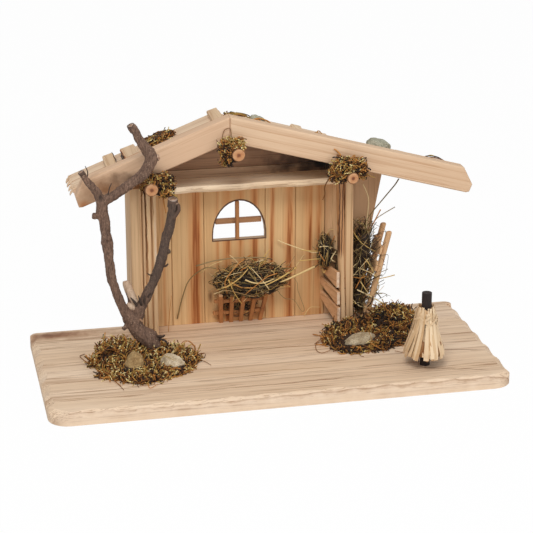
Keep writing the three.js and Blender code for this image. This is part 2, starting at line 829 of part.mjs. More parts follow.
// Stones and moss on the roof
add('roof_stone', pebble({
  place: deckPlace(slopes.right, roofStoneRun, 22), size: roofStoneSize, phase: 1,
}), stoneGrey, rightRoof);
add('ridge_stone', pebble({
  place: deckPlace(slopes.right, ridgeStoneRun, 20, ledgeThick + fit), size: ridgeStoneSize, phase: 3,
}), stoneGrey, rightRoof);
add('left_roof_moss', mound({
  place: deckPlace(slopes.left, leftMossRun, 35), reach: leftMossReach, height: leftMossHeight,
  wobble: 0.06, phase: 2, spokes: 20,
}), mossGreen, leftRoof);
add('ridge_moss', mound({
  place: deckPlace(slopes.right, ridgeMossRun, 21), reach: ridgeMossReach, height: ridgeMossHeight,
  wobble: 0.03, phase: 1, spokes: 20,
}), mossGreen, rightRoof);
add('right_roof_moss', mound({
  place: deckPlace(slopes.right, rightRun - rightMossFromEave, 12), reach: rightMossReach,
  height: rightMossHeight, wobble: 0.05, phase: 4, spokes: 20,
}), mossGreen, rightRoof);

// Moss tufts wedged between the barge boards and the purlins' ends
function purlinMoss([x, radius], shiftX, below, width, height) {
  const yMiddle = (purlinFront + bargeFront) / 2;
  const tuft = pebble({
    place: [x + shiftX, yMiddle, purlinHeight(x, radius) - below],
    size: [width, purlinAhead - 2, height],
    sink: 1,
    lumps: 0.05,
    phase: shiftX,
  });
  return cut(tuft, purlin(x, radius, fit));
}
add('left_purlin_moss', purlinMoss(purlins.left, 8, 11, 36, 25), mossGreen);
add('ridge_purlin_moss', purlinMoss(purlins.ridge, -5, 13, 31, 28), mossGreen);
add('right_purlin_moss', purlinMoss(purlins.right, -3, 6, 40, 27), mossGreen);

// Tree: a forked twig with knots and sawn ends, standing on the base
const treePath = {
  trunk: [[0, 0, -3], [0, 0, 14], [-4, 0, 24], [-13, 0, 31], [-21, 0, 44], [-27, 0, 52]],
  left: [
    [-21, 0, 44], [-26, 0, 51], [-32, 1, 63], [-37, 2, 77], [-41, 3, 93], [-43, 4, 108], [-44, 4, 124],
    [-45, 5, 136], [-46, 6, 145], [-48, 6, 160], [-50, 7, 172], [-50, 8, 184],
  ],
  stub: [[-50, 8, 180], [-54, 7, 192], [-62, 5, 202], [-70, 4, 215]],
  upper: [
    [-50, 8, 181], [-37, 9, 186], [-26, 10, 193], [-15, 10, 200], [-4, 11, 208], [4, 12, 218], [6, 13, 226],
    [1, 14, 234], [-5, 14, 243], [-10, 15, 253], [-15, 16, 260],
  ],
  right: [
    [-18, 0, 40], [-12, 1, 59], [-4, 2, 74], [4, 3, 89], [10, 4, 104], [15, 5, 120], [19, 6, 135],
    [23, 6, 150], [26, 7, 165], [28, 8, 176],
  ],
};
const treeRadii = {
  trunk: [1.02, 1, 1.1, 0.9, 0.82, 0.7],
  left: [0.7, 0.62, 0.54, 0.52, 0.53, 0.54, 0.55, 0.68, 0.58, 0.6, 0.64, 0.6],
  stub: [0.5, 0.46, 0.4, 0.37],
  upper: [0.56, 0.54, 0.54, 0.56, 0.6, 0.66, 0.7, 0.6, 0.5, 0.46, 0.47],
  right: [0.6, 0.62, 0.58, 0.55, 0.54, 0.55, 0.54, 0.53, 0.53, 0.6],
};
const treeKnobs = [
  { from: [-45, 6, 165], to: [-60, 4, 167], radii: [0.42, 0.3] },
  { from: [-44, 5, 142], to: [-44, -3, 143], radii: [0.4, 0.28] },
  { from: [4, 12, 222], to: [14, 10, 226], radii: [0.5, 0.34] },
  { from: [-26, 10, 193], to: [-26, 3, 198], radii: [0.36, 0.2] },
  { from: [18, 6, 120], to: [22, 1, 122], radii: [0.34, 0.22] },
  { from: [-2, 0, 20], to: [10, -3, 25], radii: [0.5, 0.26] },
  { from: [-24, 0, 44], to: [-32, -4, 38], radii: [0.4, 0.24] },
  { from: [-20, 2, 52], to: [-23, 12, 76], radii: [0.36, 0.28] },
  { from: [-20, 2, 48], to: [-25, 8, 60], radii: [0.36, 0.3] },
];

function inTree([x, y, z]) {
  return [treeX + x, treeY + y, baseTop + z];
}

function tree() {
  const limbs = Object.keys(treePath).map((name) => {
    const radii = treeRadii[name].map((share) => share * trunkRadius);
    return limb(treePath[name].map(inTree), radii, { lumps: 0.07 });
  });
  const knobs = treeKnobs.map(({ from, to, radii }) => {
    const middle = from.map((value, i) => (value + to[i]) / 2);
    const reach = radii.map((share) => share * trunkRadius);
    const taper = [reach[0], reach[1] * 1.15, reach[1]];
    return limb([from, middle, to].map(inTree), taper, { sides: 8, lumps: 0.03 });
  });
  const ground = box(treeX - 40, treeX + 40, treeY - 40, treeY + 40, baseTop - 20, baseTop);
  return cut(join(...limbs, ...knobs), ground);
}
add('tree', tree(), barkWood);

// Moss islands: a low heap with a higher one beside it, cut out round the stones that lie in it
const treeStones = [
  pebble({ place: [treeX - 24, treeY - 36, baseTop], size: leftStoneSize, phase: 2, sink: 0.8 }),
  pebble({ place: [treeX + 15, treeY - 40, baseTop], size: rightStoneSize, phase: 5, sink: 0.8 }),
];
const postStone = pebble({
  place: [rightPostFootX + 3, postFront - 71, baseTop], size: postStoneSize, phase: 0.4, sink: 0.6, spin: 0.3,
});

function aroundStone(stone) {
  stone.computeBoundingBox();
  const middle = stone.boundingBox.getCenter(new THREE.Vector3());
  return stone.clone()
    .translate(-middle.x, -middle.y, -middle.z)
    .scale(stoneClearance, stoneClearance, stoneClearance)
    .translate(middle.x, middle.y, middle.z);
}
add('tree_stone_left', treeStones[0], stoneTan);
add('tree_stone_right', treeStones[1], stoneGrey);
add('post_stone', postStone, stoneGrey);

function island(low, high) {
  return join(
    mound({ ...low, wobble: 0.065, spokes: 44 }),
    mound({ ...high, wobble: 0.05, spokes: 28 }),
  );
}
const trunkFoot = treePath.trunk.slice(0, 4).map(inTree);
const trunkFootRadii = treeRadii.trunk.slice(0, 4).map((share) => share * trunkRadius);
const mossClearance = 1.6;
const treeMossPlace = [treeX - 11, treeY - 20, baseTop];
const treeHeapPlace = [treeX - 40, treeY - 4, baseTop];
const postMossPlace = [rightPostFootX + 14, postFront - 49, baseTop];
const postHeapPlace = [rightPostFootX + 52, postFront - 33, baseTop];
add('tree_moss', cut(
  island(
    { place: treeMossPlace, reach: treeMossReach, height: treeMossHeight, phase: 0.6 },
    { place: treeHeapPlace, reach: treeHeapReach, height: treeHeapHeight, phase: 3 },
  ),
  limb(trunkFoot, trunkFootRadii, { grow: mossClearance }),
  ...treeStones.map(aroundStone),
), mossGreen);
add('post_moss', cut(
  island(
    { place: postMossPlace, reach: postMossReach, height: postMossHeight, phase: 2.2 },
    { place: postHeapPlace, reach: postHeapReach, height: postHeapHeight, phase: 1 },
  ),
  aroundStone(postStone),
), mossGreen);

// Wall manger: bars that lean out from the foot of the wall, with two rails behind them
const mangerBack = wallFront - fit;

function mangerPlane(height) {
  return mangerBack - mangerBarThick - mangerLean * (height / mangerHeight);
}

function manger() {
  const bars = [];
  for (let i = 0; i < mangerBars; i += 1) {
    const footX = mangerX + i * mangerPitch;
    const topX = footX + mangerSpread * (i / (mangerBars - 1) - 0.5) * 0.62;
    const ring = (height, x, squeeze) => {
      const y = mangerPlane(height);
      const half = mangerBarWidth / 2 * squeeze;
      return levelRing(rectangle(x - half, x + half, y, y + mangerBarThick), baseTop + height);
    };
    bars.push(loft([ring(0, footX, 1), ring(mangerHeight - 1.5, topX, 1), ring(mangerHeight, topX, 0.8)]));
  }
  const rails = [14, 31].map((height) => {
    const y = mangerPlane(height) + mangerBarThick - 0.6;
    const x1 = mangerX + (mangerBars - 1) * mangerPitch + mangerBarWidth;
    return box(mangerX - 10, x1, y, y + 3.6, baseTop + height - 2, baseTop + height + 2);
  });
  return join(...bars, ...rails);
}
const mangerBody = manger();
add('manger', mangerBody, wood);

// Hay piled in the manger, resting on its bars and against the wall
function mangerHay() {
  const middleX = mangerX + (mangerBars - 1) * mangerPitch / 2 + 9;
  const [width, depth] = mangerHaySize;
  const hay = pebble({
    place: [middleX, wallFront - depth / 2 - 1, baseTop + mangerHeight - mangerHaySink],
    size: mangerHaySize,
    sink: 0.8,
    lumps: 0.04,
    phase: 1,
  });
  const behind = box(middleX - width, middleX + width, wallFront - fit, wallFront + depth, baseTop, wallTop);
  const lifted = mangerBody.clone().translate(0, -fit * 2, fit * 2);
  return cut(hay, behind, mangerBody, lifted);
}
add('manger_hay', mangerHay(), hayTan);

// Hay rack outside the right post: two leaning sticks and three slats on their inner side
const rackTop = baseTop + rackHeight;
const rackYs = [postFront + rackFront, postFront + rackFront + rackGauge];

function rackX(z) {
  return rackFootX + rackLean * (z - baseTop);
}

function rackUpright(y, height) {
  const octagon = [[-1, -0.5], [-0.5, -1], [0.5, -1], [1, -0.5], [1, 0.5], [0.5, 1], [-0.5, 1], [-1, 0.5]];
  const ring = (z, squeeze) => {
    const reach = rackStick / 2 * squeeze;
    return levelRing(octagon.map(([across, deep]) => [rackX(z) + reach * across, y + reach * deep]), z);
  };
  return loft([ring(baseTop, 1), ring(baseTop + height - 1.5, 1), ring(baseTop + height, 0.75)]);
}
add('rack_upright_front', rackUpright(rackYs[0], rackHeight), wood);
add('rack_upright_back', rackUpright(rackYs[1], rackHeight + 2), wood);

const rackSlats = [
  { front: [4, 19], back: [3, 17] },
  { front: [60, 71], back: [62, 70] },
  { front: [80, 88], back: [76, 94] },
];

function rackSlat({ front, back }) {
  const lap = 4;
  const end = (y, [low, high]) => {
    const xOut = (height) => rackX(baseTop + height) - rackStick / 2 - fit;
    return [
      point(xOut(low) - slatThick, y, baseTop + low), point(xOut(high) - slatThick, y, baseTop + high),
      point(xOut(high), y, baseTop + high), point(xOut(low), y, baseTop + low),
    ];
  };
  return loft([end(rackYs[0] - lap, front), end(rackYs[1] + lap * 0.4, back)]);
}
rackSlats.forEach((slat, i) => add(`rack_slat_${i + 1}`, rackSlat(slat), wood));

// Hay between the post and the rack, and the wisp that spills over the fence
function rackHay() {
  const yFront = postFront + 6;
  const yBack = wallFront - 1.5;
  const levels = [[4, 0.2, 0.8], [14, 0, 1], [45, 0, 1], [80, 0, 1], [102, 0.08, 0.8], [114, 0.25, 0.55]];
  const rings = levels.map(([height, trimLow, trimHigh]) => {
    const z = baseTop + height;
    const xLeft = rightPostSide(z, 'right') + fit;
    const xRight = rackX(z) - rackStick / 2 - slatThick - fit * 2;
    const corners = [];
    const sides = 16;
    for (let j = 0; j < sides; j += 1) {
      const angle = (j / sides) * Math.PI * 2 + Math.PI / sides;
      const across = 0.5 + 0.5 * Math.sign(Math.cos(angle)) * Math.abs(Math.cos(angle)) ** 0.6;
      const deep = 0.5 + 0.5 * Math.sign(Math.sin(angle)) * Math.abs(Math.sin(angle)) ** 0.6;
      corners.push([mix(xLeft, xRight, mix(trimLow, trimHigh, across)), mix(yFront, yBack, deep)]);
    }
    return levelRing(corners, z);
  });
  return loft(rings);
}
add('rack_hay', rackHay(), hayTan);

// The wisp sags onto the top plank, is cut to its upper edge and lies along the side panel
function fenceHay() {
  const plank = fencePlank(topPlank);
  const wisp = pebble({
    place: [wallRight - 4, wallFront - 15, fenceTop - fenceHaySag],
    size: fenceHaySize,
    sink: 0.7,
    lumps: 0.04,
    phase: 2,
    spin: 0.2,
  });
  const around = [[0, 0, fit], [fit, 0, 0], [-fit, 0, 0]].map((shift) => plank.clone().translate(...shift));
  return cut(wisp, ...around);
}
add('fence_hay', fenceHay(), hayTan);

// Straw sheaf: a bark-brown peg with strips of straw tied round it
add('sheaf_peg', new THREE.CylinderGeometry(pegRadius, pegRadius, pegHeight, 20)
  .rotateX(Math.PI / 2)
  .translate(sheafX, sheafY, baseTop + pegHeight / 2), pegBrown);

function strawSkirt() {
  const sides = strawStrips * 3;
  const levels = [
    [0, 0.95], [0.12, 1], [0.25, 0.86], [0.46, 0.44], [neckShare - 0.05, 0], [neckShare + 0.05, 0],
    [0.88, 0.02], [1, -0.16],
  ];
  const rings = levels.map(([share, flare], level) => {
    const corners = [];
    for (let j = 0; j < sides; j += 1) {
      const angle = (j / sides) * Math.PI * 2;
      const groove = j % 3 === 0 ? 0.075 : 0;
      const strip = Math.floor(j / 3);
      const swell = 1 + stripSwell * Math.sin(strip * 2.3);
      const radius = mix(neckRadius, hemRadius, flare) * (1 - groove) * swell;
      const ragged = level === 0 ? 1.6 * Math.sin(strip * 1.9) : 0;
      const frayed = level === levels.length - 1 ? 2.4 * Math.sin(strip * 2.7) : 0;
      const z = baseTop + strawFoot + strawHeight * share + ragged + frayed;
      corners.push(point(sheafX + radius * Math.cos(angle), sheafY + radius * Math.sin(angle), z));
    }
    return corners;
  });
  const bore = new THREE.LatheGeometry([
    new THREE.Vector2(0, -6),
    new THREE.Vector2(hemRadius - 3, -6),
    new THREE.Vector2(hemRadius - 4.5, strawFoot),
    new THREE.Vector2(pegRadius + fit, strawFoot + strawHeight * 0.62),
    new THREE.Vector2(pegRadius + fit, strawFoot + strawHeight + 8),
    new THREE.Vector2(0, strawFoot + strawHeight + 8),
  ], 24).rotateX(Math.PI / 2).translate(sheafX, sheafY, baseTop);
  return cut(loft(rings), bore);
}
add('sheaf_straw', strawSkirt(), strawCream);

// Flat band of straw wound round the neck
function strawBand() {
  const inner = neckRadius * (1 + stripSwell) + fit;
  const outer = inner + tieThick;
  const half = tieBand / 2;
  const section = [[inner, -half], [outer, -half], [outer, half], [inner, half], [inner, -half]];
  const ring = new THREE.LatheGeometry(section.map(([r, z]) => new THREE.Vector2(r, z)), 40);
  const neckZ = baseTop + strawFoot + strawHeight * neckShare;
  return join(ring.rotateX(Math.PI / 2).translate(sheafX, sheafY, neckZ));
}
add('sheaf_tie', strawBand(), strawCream);

export default stable;
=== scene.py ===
"""Looks of the nativity stable, built in Blender 4.5 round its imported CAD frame. Metres, +Z up.

Wooden boards stay as CAD nodes with softened edges and wood materials. The tree, stones, moss, hay and
straw hide their plain solids under bark, grain, shoots, stalks and strips of the same size and place.
"""
import math

import bpy
import numpy as np
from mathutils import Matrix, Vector, noise


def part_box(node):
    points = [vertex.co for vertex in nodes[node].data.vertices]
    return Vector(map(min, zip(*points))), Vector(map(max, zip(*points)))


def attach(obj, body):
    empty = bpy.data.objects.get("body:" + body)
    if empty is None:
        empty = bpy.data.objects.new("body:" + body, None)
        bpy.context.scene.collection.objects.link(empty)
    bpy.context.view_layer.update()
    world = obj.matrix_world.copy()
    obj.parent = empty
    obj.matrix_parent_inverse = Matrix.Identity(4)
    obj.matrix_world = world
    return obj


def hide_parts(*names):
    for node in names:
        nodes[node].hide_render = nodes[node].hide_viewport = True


noise.seed_set(1)  # unseeded, noise_vector starts from the clock and differs from run to run

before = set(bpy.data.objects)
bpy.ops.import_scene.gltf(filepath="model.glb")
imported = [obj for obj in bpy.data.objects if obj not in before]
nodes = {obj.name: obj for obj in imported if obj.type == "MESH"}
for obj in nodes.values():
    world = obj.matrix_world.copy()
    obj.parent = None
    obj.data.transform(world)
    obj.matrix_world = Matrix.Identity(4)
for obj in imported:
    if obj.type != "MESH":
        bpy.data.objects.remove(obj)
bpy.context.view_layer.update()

MM = 0.001
BASE_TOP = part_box("base_board")[1].z
WALL_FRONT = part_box("wall_board_1")[0].y
LEFT_PITCH = math.radians(21.1)
RIGHT_PITCH = math.radians(15.3)


# Camera at the photograph's viewing angle

SENSOR_WIDTH, LENS = 36, 119.08
CAMERA_PLACE = (-0.38036, -1.7656, 0.75864)
CAMERA_TILT, CAMERA_HEADING = math.radians(70.42), math.radians(-12.2)


def add_camera():
    data = bpy.data.cameras.new("photo_camera")
    data.sensor_width = SENSOR_WIDTH
    data.lens = LENS
    camera = bpy.data.objects.new("photo_camera", data)
    camera.location = CAMERA_PLACE
    camera.rotation_euler = (CAMERA_TILT, 0, CAMERA_HEADING)
    bpy.context.scene.collection.objects.link(camera)
    bpy.context.scene.camera = camera


add_camera()


# Shader helpers

def srgb(red, green, blue):
    """A colour as a picture shows it, 0 to 255, in the linear values that Blender works in."""
    def linear(value):
        share = value / 255
        return share / 12.92 if share <= 0.04045 else ((share + 0.055) / 1.055) ** 2.4
    return (linear(red), linear(green), linear(blue), 1)


class Shader:
    """A Principled material, with short calls for the nodes that feed it.

    mix and ramp take a colour as a node's output or as a picture shows it, a tuple of 0 to 255."""

    def __init__(self, name, roughness=0.7):
        self.material = bpy.data.materials.new(name)
        self.material.use_nodes = True
        self.tree = self.material.node_tree
        self.surface = self.tree.nodes["Principled BSDF"]
        self.surface.inputs["Roughness"].default_value = roughness

    def node(self, kind, inputs, **settings):
        made = self.tree.nodes.new("ShaderNode" + kind)
        for name, value in settings.items():
            setattr(made, name, value)
        for socket, value in inputs.items():
            self.feed(made.inputs[socket], value)
        return made

    def feed(self, socket, value):
        if isinstance(value, bpy.types.NodeSocket):
            self.tree.links.new(value, socket)
        else:
            socket.default_value = value

    def place(self, turn=(0, 0, 0), stretch=(1, 1, 1), shift=(0, 0, 0)):
        """The point in the object's own space, turned, then moved, then stretched."""
        start = self.node("TexCoord", {}).outputs["Object"]
        turned = self.node("Mapping", {"Vector": start, "Rotation": turn, "Location": shift})
        return self.node("Mapping", {"Vector": turned.outputs[0], "Scale": stretch}).outputs[0]

    def axis(self, vector, name):
        return self.node("SeparateXYZ", {0: vector}).outputs[name]

    def at(self, name):
        """The point's X, Y or Z in the object's own space."""
        return self.axis(self.place(), name)

    def facing(self, name):
        """The surface's outward direction along X, Y or Z."""
        return self.axis(self.node("NewGeometry", {}).outputs["Normal"], name)

    def noise(self, vector, scale, detail, rough=0.5, distort=0):
        return self.node("TexNoise", {
            "Vector": vector, "Scale": scale, "Detail": detail, "Roughness": rough, "Distortion": distort,
        }).outputs["Fac"]

    def ramp(self, share, *stops):
        """A colour ramp; each stop is (place, colour), and a plain number is a grey."""
        made = self.node("ValToRGB", {"Fac": share})
        elements = made.color_ramp.elements
        while len(elements) < len(stops):
            elements.new(0.5)
        for element, (place, colour) in zip(elements, stops):
            element.position = place
            element.color = srgb(*colour) if isinstance(colour, tuple) else (colour, colour, colour, 1)
        return made.outputs["Color"]

    def patches(self, vector, scale, detail, *stops, rough=0.5):
        """Noise through a ramp."""
        return self.ramp(self.noise(vector, scale, detail, rough), *stops)

    def mix(self, share, low, high):
        low, high = (srgb(*colour) if isinstance(colour, tuple) else colour for colour in (low, high))
        return self.node("Mix", {0: share, 6: low, 7: high}, data_type="RGBA").outputs[2]

    def maths(self, operation, first, second=0.0):
        return self.node("Math", {0: first, 1: second}, operation=operation).outputs[0]

    def plus(self, first, second):
        return self.maths("ADD", first, second)

    def minus(self, first, second):
        return self.maths("SUBTRACT", first, second)

    def over(self, first, second):
        return self.maths("DIVIDE", first, second)

    def times(self, *values):
        product = values[0]
        for value in values[1:]:
            product = self.maths("MULTIPLY", product, value)
        return product

    def span(self, value, low, high):
        """0 where value is low and 1 where it is high; low may be the greater."""
        return self.node("MapRange", {"Value": value, "From Min": low, "From Max": high}).outputs[0]

    def length(self, vector):
        return self.node("VectorMath", {0: vector}, operation="LENGTH").outputs["Value"]

    def bump(self, height, distance, strength):
        made = self.node("Bump", {"Height": height, "Distance": distance, "Strength": strength})
        self.feed(self.surface.inputs["Normal"], made.outputs[0])

    def colour(self, value):
        """The material, finished with a node's output or a linear colour."""
        self.feed(self.surface.inputs["Base Color"], value)
        return self.material


# Wood

ALONG_X = (0, 0, 0)
ALONG_Y = (0, 0, math.radians(-90))
ALONG_Z = (0, math.radians(90), 0)
DOWN_LEFT = (0, LEFT_PITCH, 0)
DOWN_RIGHT = (0, -RIGHT_PITCH, 0)
LATEWOOD = [(0, 0.0), (0.6, 0.06), (0.86, 0.5), (0.94, 1.0), (1, 0.0)]


def wood(name, pale, dark, line, grain=ALONG_X, pith=(0.03, -0.05), ring=15, lines=0.8, warp=8, streaky=0.5,
         shade=None):
    """Softwood: uneven growth rings, clusters of dark streaks and fine fibres.

    grain turns the board's length onto the texture's X. pith moves the tree's middle onto the texture's
    own X axis, ring is the ring spacing and warp its waver in mm, and shade changes the finished colour with
    stains and marks, and on some boards with painted shade."""
    wooden = Shader(name)
    across, fibres, bands, rings = (wooden.place(grain, (drawn, 1, 1), (0, *pith))
                                    for drawn in (0.06, 0.02, 0.012, 0))
    drift = wooden.times(wooden.noise(across, 24, 3, 0.55), 2 * warp * MM)
    count = wooden.over(wooden.plus(wooden.length(rings), drift), ring * MM)
    luck = wooden.node("TexWhiteNoise", {"W": wooden.maths("FLOOR", count)}, noise_dimensions="1D")
    latewood = wooden.ramp(wooden.maths("FRACT", count), *LATEWOOD)
    fades = wooden.patches(across, 40, 2, (0.36, 0.12), (0.6, 1.0))
    strength = wooden.times(latewood, fades, wooden.plus(luck.outputs["Value"], 0.2), lines)
    tone = wooden.mix(wooden.patches(across, 26, 3, (0.32, 0.0), (0.68, 1.0), rough=0.55), pale, dark)
    ringed = wooden.mix(strength, tone, line)
    streaks = wooden.patches(fibres, 330, 4, (0.52, 0.0), (0.78, 0.4), rough=0.6)
    clusters = wooden.patches(bands, 62, 3, (0.42, 0.2), (0.6, 1.0))
    dashes = wooden.patches(fibres, 820, 3, (0.54, 0.0), (0.62, 1.0), rough=0.55)
    dashed = wooden.mix(wooden.times(clusters, dashes, streaky), wooden.mix(streaks, ringed, line), line)
    fine = wooden.noise(fibres, 1500, 2)
    fibred = wooden.mix(wooden.ramp(fine, (0.3, 0.14), (0.7, 0.0)), dashed, dark)
    wooden.bump(wooden.minus(wooden.times(fine, 0.5), wooden.times(strength, 0.8)), 0.25 * MM, 0.6)
    return wooden.colour(shade(wooden, fibred) if shade else fibred)


def layers(*shades):
    """Several shades, one over the other."""
    def apply(shader, under):
        for shade in shades:
            under = shade(shader, under)
        return under
    return apply


def stain_and_shade_patch(x, y, z, reach, colour, strength):
    """A patch round a place in mm, with reaches in mm along X, Y and Z and a ragged edge. Most calls give
    stains, knots and paler wood, and some give painted shade and shadow.
    """
    def apply(shader, under):
        stretch = tuple(1 / (value * MM) for value in reach)
        spot = shader.place(stretch=stretch, shift=(-x * MM, -y * MM, -z * MM))
        ragged = shader.plus(shader.length(spot), shader.times(shader.noise(shader.place(), 90, 3), 0.7))
        return shader.mix(shader.ramp(ragged, (0.35, strength), (1.0, 0.0)), under, colour)
    return apply


def crack(start, end, half, colour, strength, axes="XZ", wander=1.5):
    """A wavy line from start to end in mm, each a place on two axes, of which the second runs along it."""
    def apply(shader, under):
        over, along = (shader.at(name) for name in axes)
        keep = tuple(float(name == axes[1]) for name in "XYZ")
        sway = shader.noise(shader.place(stretch=keep, shift=(start[0] * 0.05,) * 3), 60, 2)
        middle = shader.node("MapRange", {
            "Value": along, "From Min": start[1] * MM, "From Max": end[1] * MM,
            "To Min": (start[0] - wander) * MM, "To Max": (end[0] - wander) * MM,
        }).outputs[0]
        wavy = shader.plus(middle, shader.times(sway, 2 * wander * MM))
        away = shader.maths("ABSOLUTE", shader.minus(over, wavy))
        line = shader.ramp(shader.over(away, half * MM), (0.5, strength), (1.0, 0.0))
        foot = shader.span(along, (start[1] - 6) * MM, (start[1] + 6) * MM)
        head = shader.span(along, (end[1] + 4) * MM, (end[1] - 6) * MM)
        return shader.mix(shader.times(line, foot, head), under, colour)
    return apply


# Scorched stripes of the back wall: middle and half width along X in mm, and strength
FLAMES = [(-94, 2, 0.45), (-57, 8, 1.0), (-32, 2.5, 0.5), (-19.5, 5, 1.0), (-6, 6, 0.65),
          (11.6, 5.5, 0.95), (31.8, 3.5, 1.0), (52, 6, 1.0), (75, 5, 0.85), (87, 5, 0.85)]


def flames(shader, under):
    """Orange-brown stripes up the wall, each fading and wavering along its height."""
    waver = shader.noise(shader.place(ALONG_Z, (0.12, 1, 1)), 60, 2)
    shifted = shader.plus(shader.at("X"), shader.times(waver, 6 * MM))
    left, right = -140 * MM, 100 * MM
    drift = 3
    stops = []
    for middle, half, strength in FLAMES:
        at = (middle + drift) * MM
        for place, value in ((at - half * 1.7 * MM, 0.0), (at, strength), (at + half * 0.8 * MM, 0.0)):
            stops.append(((place - left) / (right - left), value))
    stripe = shader.ramp(shader.span(shifted, left, right), *sorted(stops))
    low = shader.span(shader.at("Z"), 0.19, 0.12)
    patchy = shader.patches(shader.place(ALONG_Z, (0.08, 1, 1)), 110, 3, (0.34, 0.4), (0.52, 1.0))
    threads = shader.patches(shader.place(ALONG_Z, (0.03, 1, 1)), 420, 3, (0.42, 0.65), (0.6, 1.0))
    share = shader.times(stripe, patchy, threads, shader.plus(shader.times(low, 0.55), 0.65))
    warm = shader.mix(share, under, (204, 118, 44))
    return shader.mix(shader.ramp(share, (0.42, 0.0), (0.9, 0.85)), warm, (132, 68, 26))


def scorch(shader, under):
    """The sawn window: a thin dark line round it, and greyer wood on its reveal and sill."""
    x, y, z = (shader.at(name) for name in "XYZ")
    middle, half, spring, rise, sill = (value * MM for value in (-7.75, 30.25, 119.5, 40, 113.5))
    across = shader.over(shader.minus(x, middle), half)
    above = shader.over(shader.maths("MAXIMUM", shader.minus(z, spring), 0.0), rise)
    reach = shader.maths("SQRT", shader.plus(shader.times(across, across), shader.times(above, above)))
    rim = shader.times(shader.span(reach, 1.055, 1.035), shader.span(z, sill - 1.4 * MM, sill - MM))
    front = shader.span(y, WALL_FRONT + 0.7 * MM, WALL_FRONT + 0.4 * MM)
    greyed = shader.mix(rim, under, (186, 158, 128))
    return shader.mix(shader.times(rim, front), greyed, (84, 50, 28))


def in_front(shade):
    """A shade kept to the faces that look to the front."""
    def apply(shader, under):
        ahead = shader.maths("LESS_THAN", shader.facing("Y"), -0.3)
        return shader.mix(ahead, under, shade(shader, under))
    return apply


def heart(x, z, radius):
    """The end of a round twig that lies along Y: a red-brown heart, orange rings and a brown rim."""
    def apply(shader, under):
        spot = shader.place(stretch=(1, 0, 1), shift=(-x * MM, 0, -z * MM))
        reach = shader.over(shader.length(spot), radius * MM)
        ragged = shader.plus(reach, shader.times(shader.noise(shader.place(), 300, 2), 0.4))
        warm = shader.mix(shader.ramp(ragged, (0.3, 0.95), (0.65, 0.75), (1.0, 0.5)), under, (176, 108, 60))
        ringed = shader.mix(shader.ramp(reach, (0.82, 0.0), (0.92, 0.8)), warm, (120, 76, 46))
        return shader.mix(shader.ramp(ragged, (0.2, 0.9), (0.45, 0.6), (0.55, 0.0)), ringed, (92, 42, 22))
    return apply


def side_colour_and_shade(colour, axis, low, high):
    """Rough colour on the faces whose outward direction along an axis is past low, fully at high: bark on the
    battens, pale sawn ends on the planks, and painted shade on the mullion's left face.
    """
    def apply(shader, under):
        rough = shader.patches(shader.place(), 260, 3, (0.35, 0.35), (0.6, 0.95))
        return shader.mix(shader.times(shader.span(shader.facing(axis), low, high), rough), under, colour)
    return apply


def pale_above(z, colour):
    """Fresh sawn tops: everything over a height in mm."""
    def apply(shader, under):
        over = shader.span(shader.at("Z"), (z - 0.6) * MM, (z + 0.6) * MM)
        return shader.mix(shader.times(over, 0.8), under, colour)
    return apply


GROWTH_LINE = (172, 124, 84)
SPLIT_COLOURS = (232, 199, 158), (212, 172, 126), (154, 104, 60)
SPLIT_LINE = SPLIT_COLOURS[2]
DECK_COLOURS = (234, 208, 178), (214, 182, 148), GROWTH_LINE
CHIP_DARK = (210, 174, 134)
CHAR = (74, 42, 24)
RUST = (178, 102, 52)

# Darker brown on the left barge board's lower left, partly a smoky stain and partly painted shadow of the
# tree; the orange patch at its left end is the whittled facet's colour.
LEFT_BARGE_STAINS_AND_TREE_SHADOW = layers(
    stain_and_shade_patch(-165, 47, 200, (76, 24, 32), (136, 92, 56), 0.95),
    stain_and_shade_patch(-130, 47, 209, (58, 24, 18), (74, 52, 36), 0.95),
    stain_and_shade_patch(-190, 47, 184, (16, 20, 11), (176, 110, 58), 0.8),
)
WALL_STAINS = layers(
    flames,
    stain_and_shade_patch(-42, 105, 46, (5, 10, 13), (104, 62, 32), 0.8),
    stain_and_shade_patch(22, 105, 38, (5, 10, 9), (120, 74, 40), 0.7),
    scorch,
)
BASE_STAINS = layers(
    stain_and_shade_patch(-216, 102, 14, (124, 26, 30), (150, 100, 60), 1.0),
    stain_and_shade_patch(-232, 104, 14, (70, 14, 14), (112, 70, 42), 0.9),
    stain_and_shade_patch(0, -122, 10, (2000, 24, 80), (238, 214, 188), 0.85),
    crack((-86, -26), (-84, 66), 0.9, (134, 84, 48), 0.75, "YX", 3),
    crack((-24, 176), (-40, 236), 1.1, (110, 74, 48), 0.8, "YX", 4),
    crack((-72, 150), (-96, 225), 1.0, (128, 88, 58), 0.75, "YX", 5),
    crack((-47, -60), (-52, 60), 0.8, GROWTH_LINE, 0.8, "YX", 4),
    crack((14, 20), (8, 140), 0.8, GROWTH_LINE, 0.8, "YX", 4),
)
